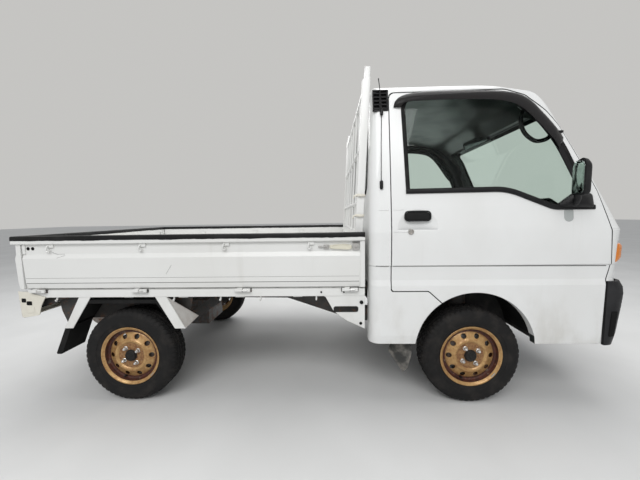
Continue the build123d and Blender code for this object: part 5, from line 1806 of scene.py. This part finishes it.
def make_stage():
    floor_mesh = bpy.data.meshes.new("floor")
    half = 40.0
    floor_mesh.from_pydata([(a, b, 0) for a, b, _ in rect(-half, half, -half, half)], [], [(0, 1, 2, 3)])
    floor = bpy.data.objects.new("floor", floor_mesh)
    bpy.context.scene.collection.objects.link(floor)
    floor_mesh.materials.append(stage_floor())

    world = bpy.data.worlds.new("studio")
    bpy.context.scene.world = world
    world.use_nodes = True
    tree = world.node_tree

    def node(kind, *sources, **settings):
        """A node whose first inputs take the sources: outputs are linked, plain values set."""
        made = tree.nodes.new(kind)
        for key, value in settings.items():
            setattr(made, key, value)
        for socket, source in zip(made.inputs, sources):
            if isinstance(source, bpy.types.NodeSocket):
                tree.links.new(source, socket)
            else:
                socket.default_value = source
        return made

    light = tree.nodes["Background"]
    light.inputs["Color"].default_value = (0.95, 0.97, 1.0, 1.0)
    light.inputs["Strength"].default_value = 0.55
    backdrop = node("ShaderNodeBackground", (0.56, 0.555, 0.54, 1.0), 1.0)
    rays = node("ShaderNodeLightPath").outputs
    more = node("ShaderNodeMath", rays["Is Glossy Ray"], rays["Is Transmission Ray"], operation="MAXIMUM")
    seen = node("ShaderNodeMath", rays["Is Camera Ray"], more.outputs[0], operation="MAXIMUM")
    mix = node("ShaderNodeMixShader", seen.outputs[0], light.outputs[0], backdrop.outputs[0])
    tree.links.new(mix.outputs[0], tree.nodes["World Output"].inputs["Surface"])

    # name, place, aim, width, height, power
    for name, place, aim, width, height, power in (
        ("key", (-0.6, -4.2, 4.2), (0.0, -0.4, 0.7), 5.0, 2.0, 150.0),
        ("top", (0.2, 0.4, 4.6), (0.0, 0.0, 0.6), 5.0, 3.0, 130.0),
        ("back", (0.0, 4.5, 3.6), (0.0, 0.3, 0.8), 5.0, 2.0, 90.0),
    ):
        lamp_data = bpy.data.lights.new(name, "AREA")
        lamp_data.shape = "RECTANGLE"
        lamp_data.size, lamp_data.size_y, lamp_data.energy = width, height, power
        lamp = bpy.data.objects.new(name, lamp_data)
        lamp.location = place
        lamp.rotation_euler = (Vector(aim) - Vector(place)).to_track_quat("-Z", "Y").to_euler()
        bpy.context.scene.collection.objects.link(lamp)


def make_camera():
    data = bpy.data.cameras.new("camera")
    data.sensor_width, data.lens = SENSOR, CAMERA_LENS
    data.clip_start, data.clip_end = 0.05, 200.0
    camera = bpy.data.objects.new("camera", data)
    right, up = Vector(CAMERA_RIGHT), Vector(CAMERA_UP)
    turn = Matrix((right, up, right.cross(up))).transposed().to_4x4()
    camera.matrix_world = Matrix.Translation(CAMERA_AT) @ turn
    bpy.context.scene.collection.objects.link(camera)
    bpy.context.scene.camera = camera


make_camera()
make_stage()
dress_nodes()
make_wheels()
make_bowls()
make_doors()
make_mirrors_and_vents()
make_cab_outside()
make_bed()
make_inside()
make_rest()
bpy.context.scene.view_settings.view_transform = "Standard"
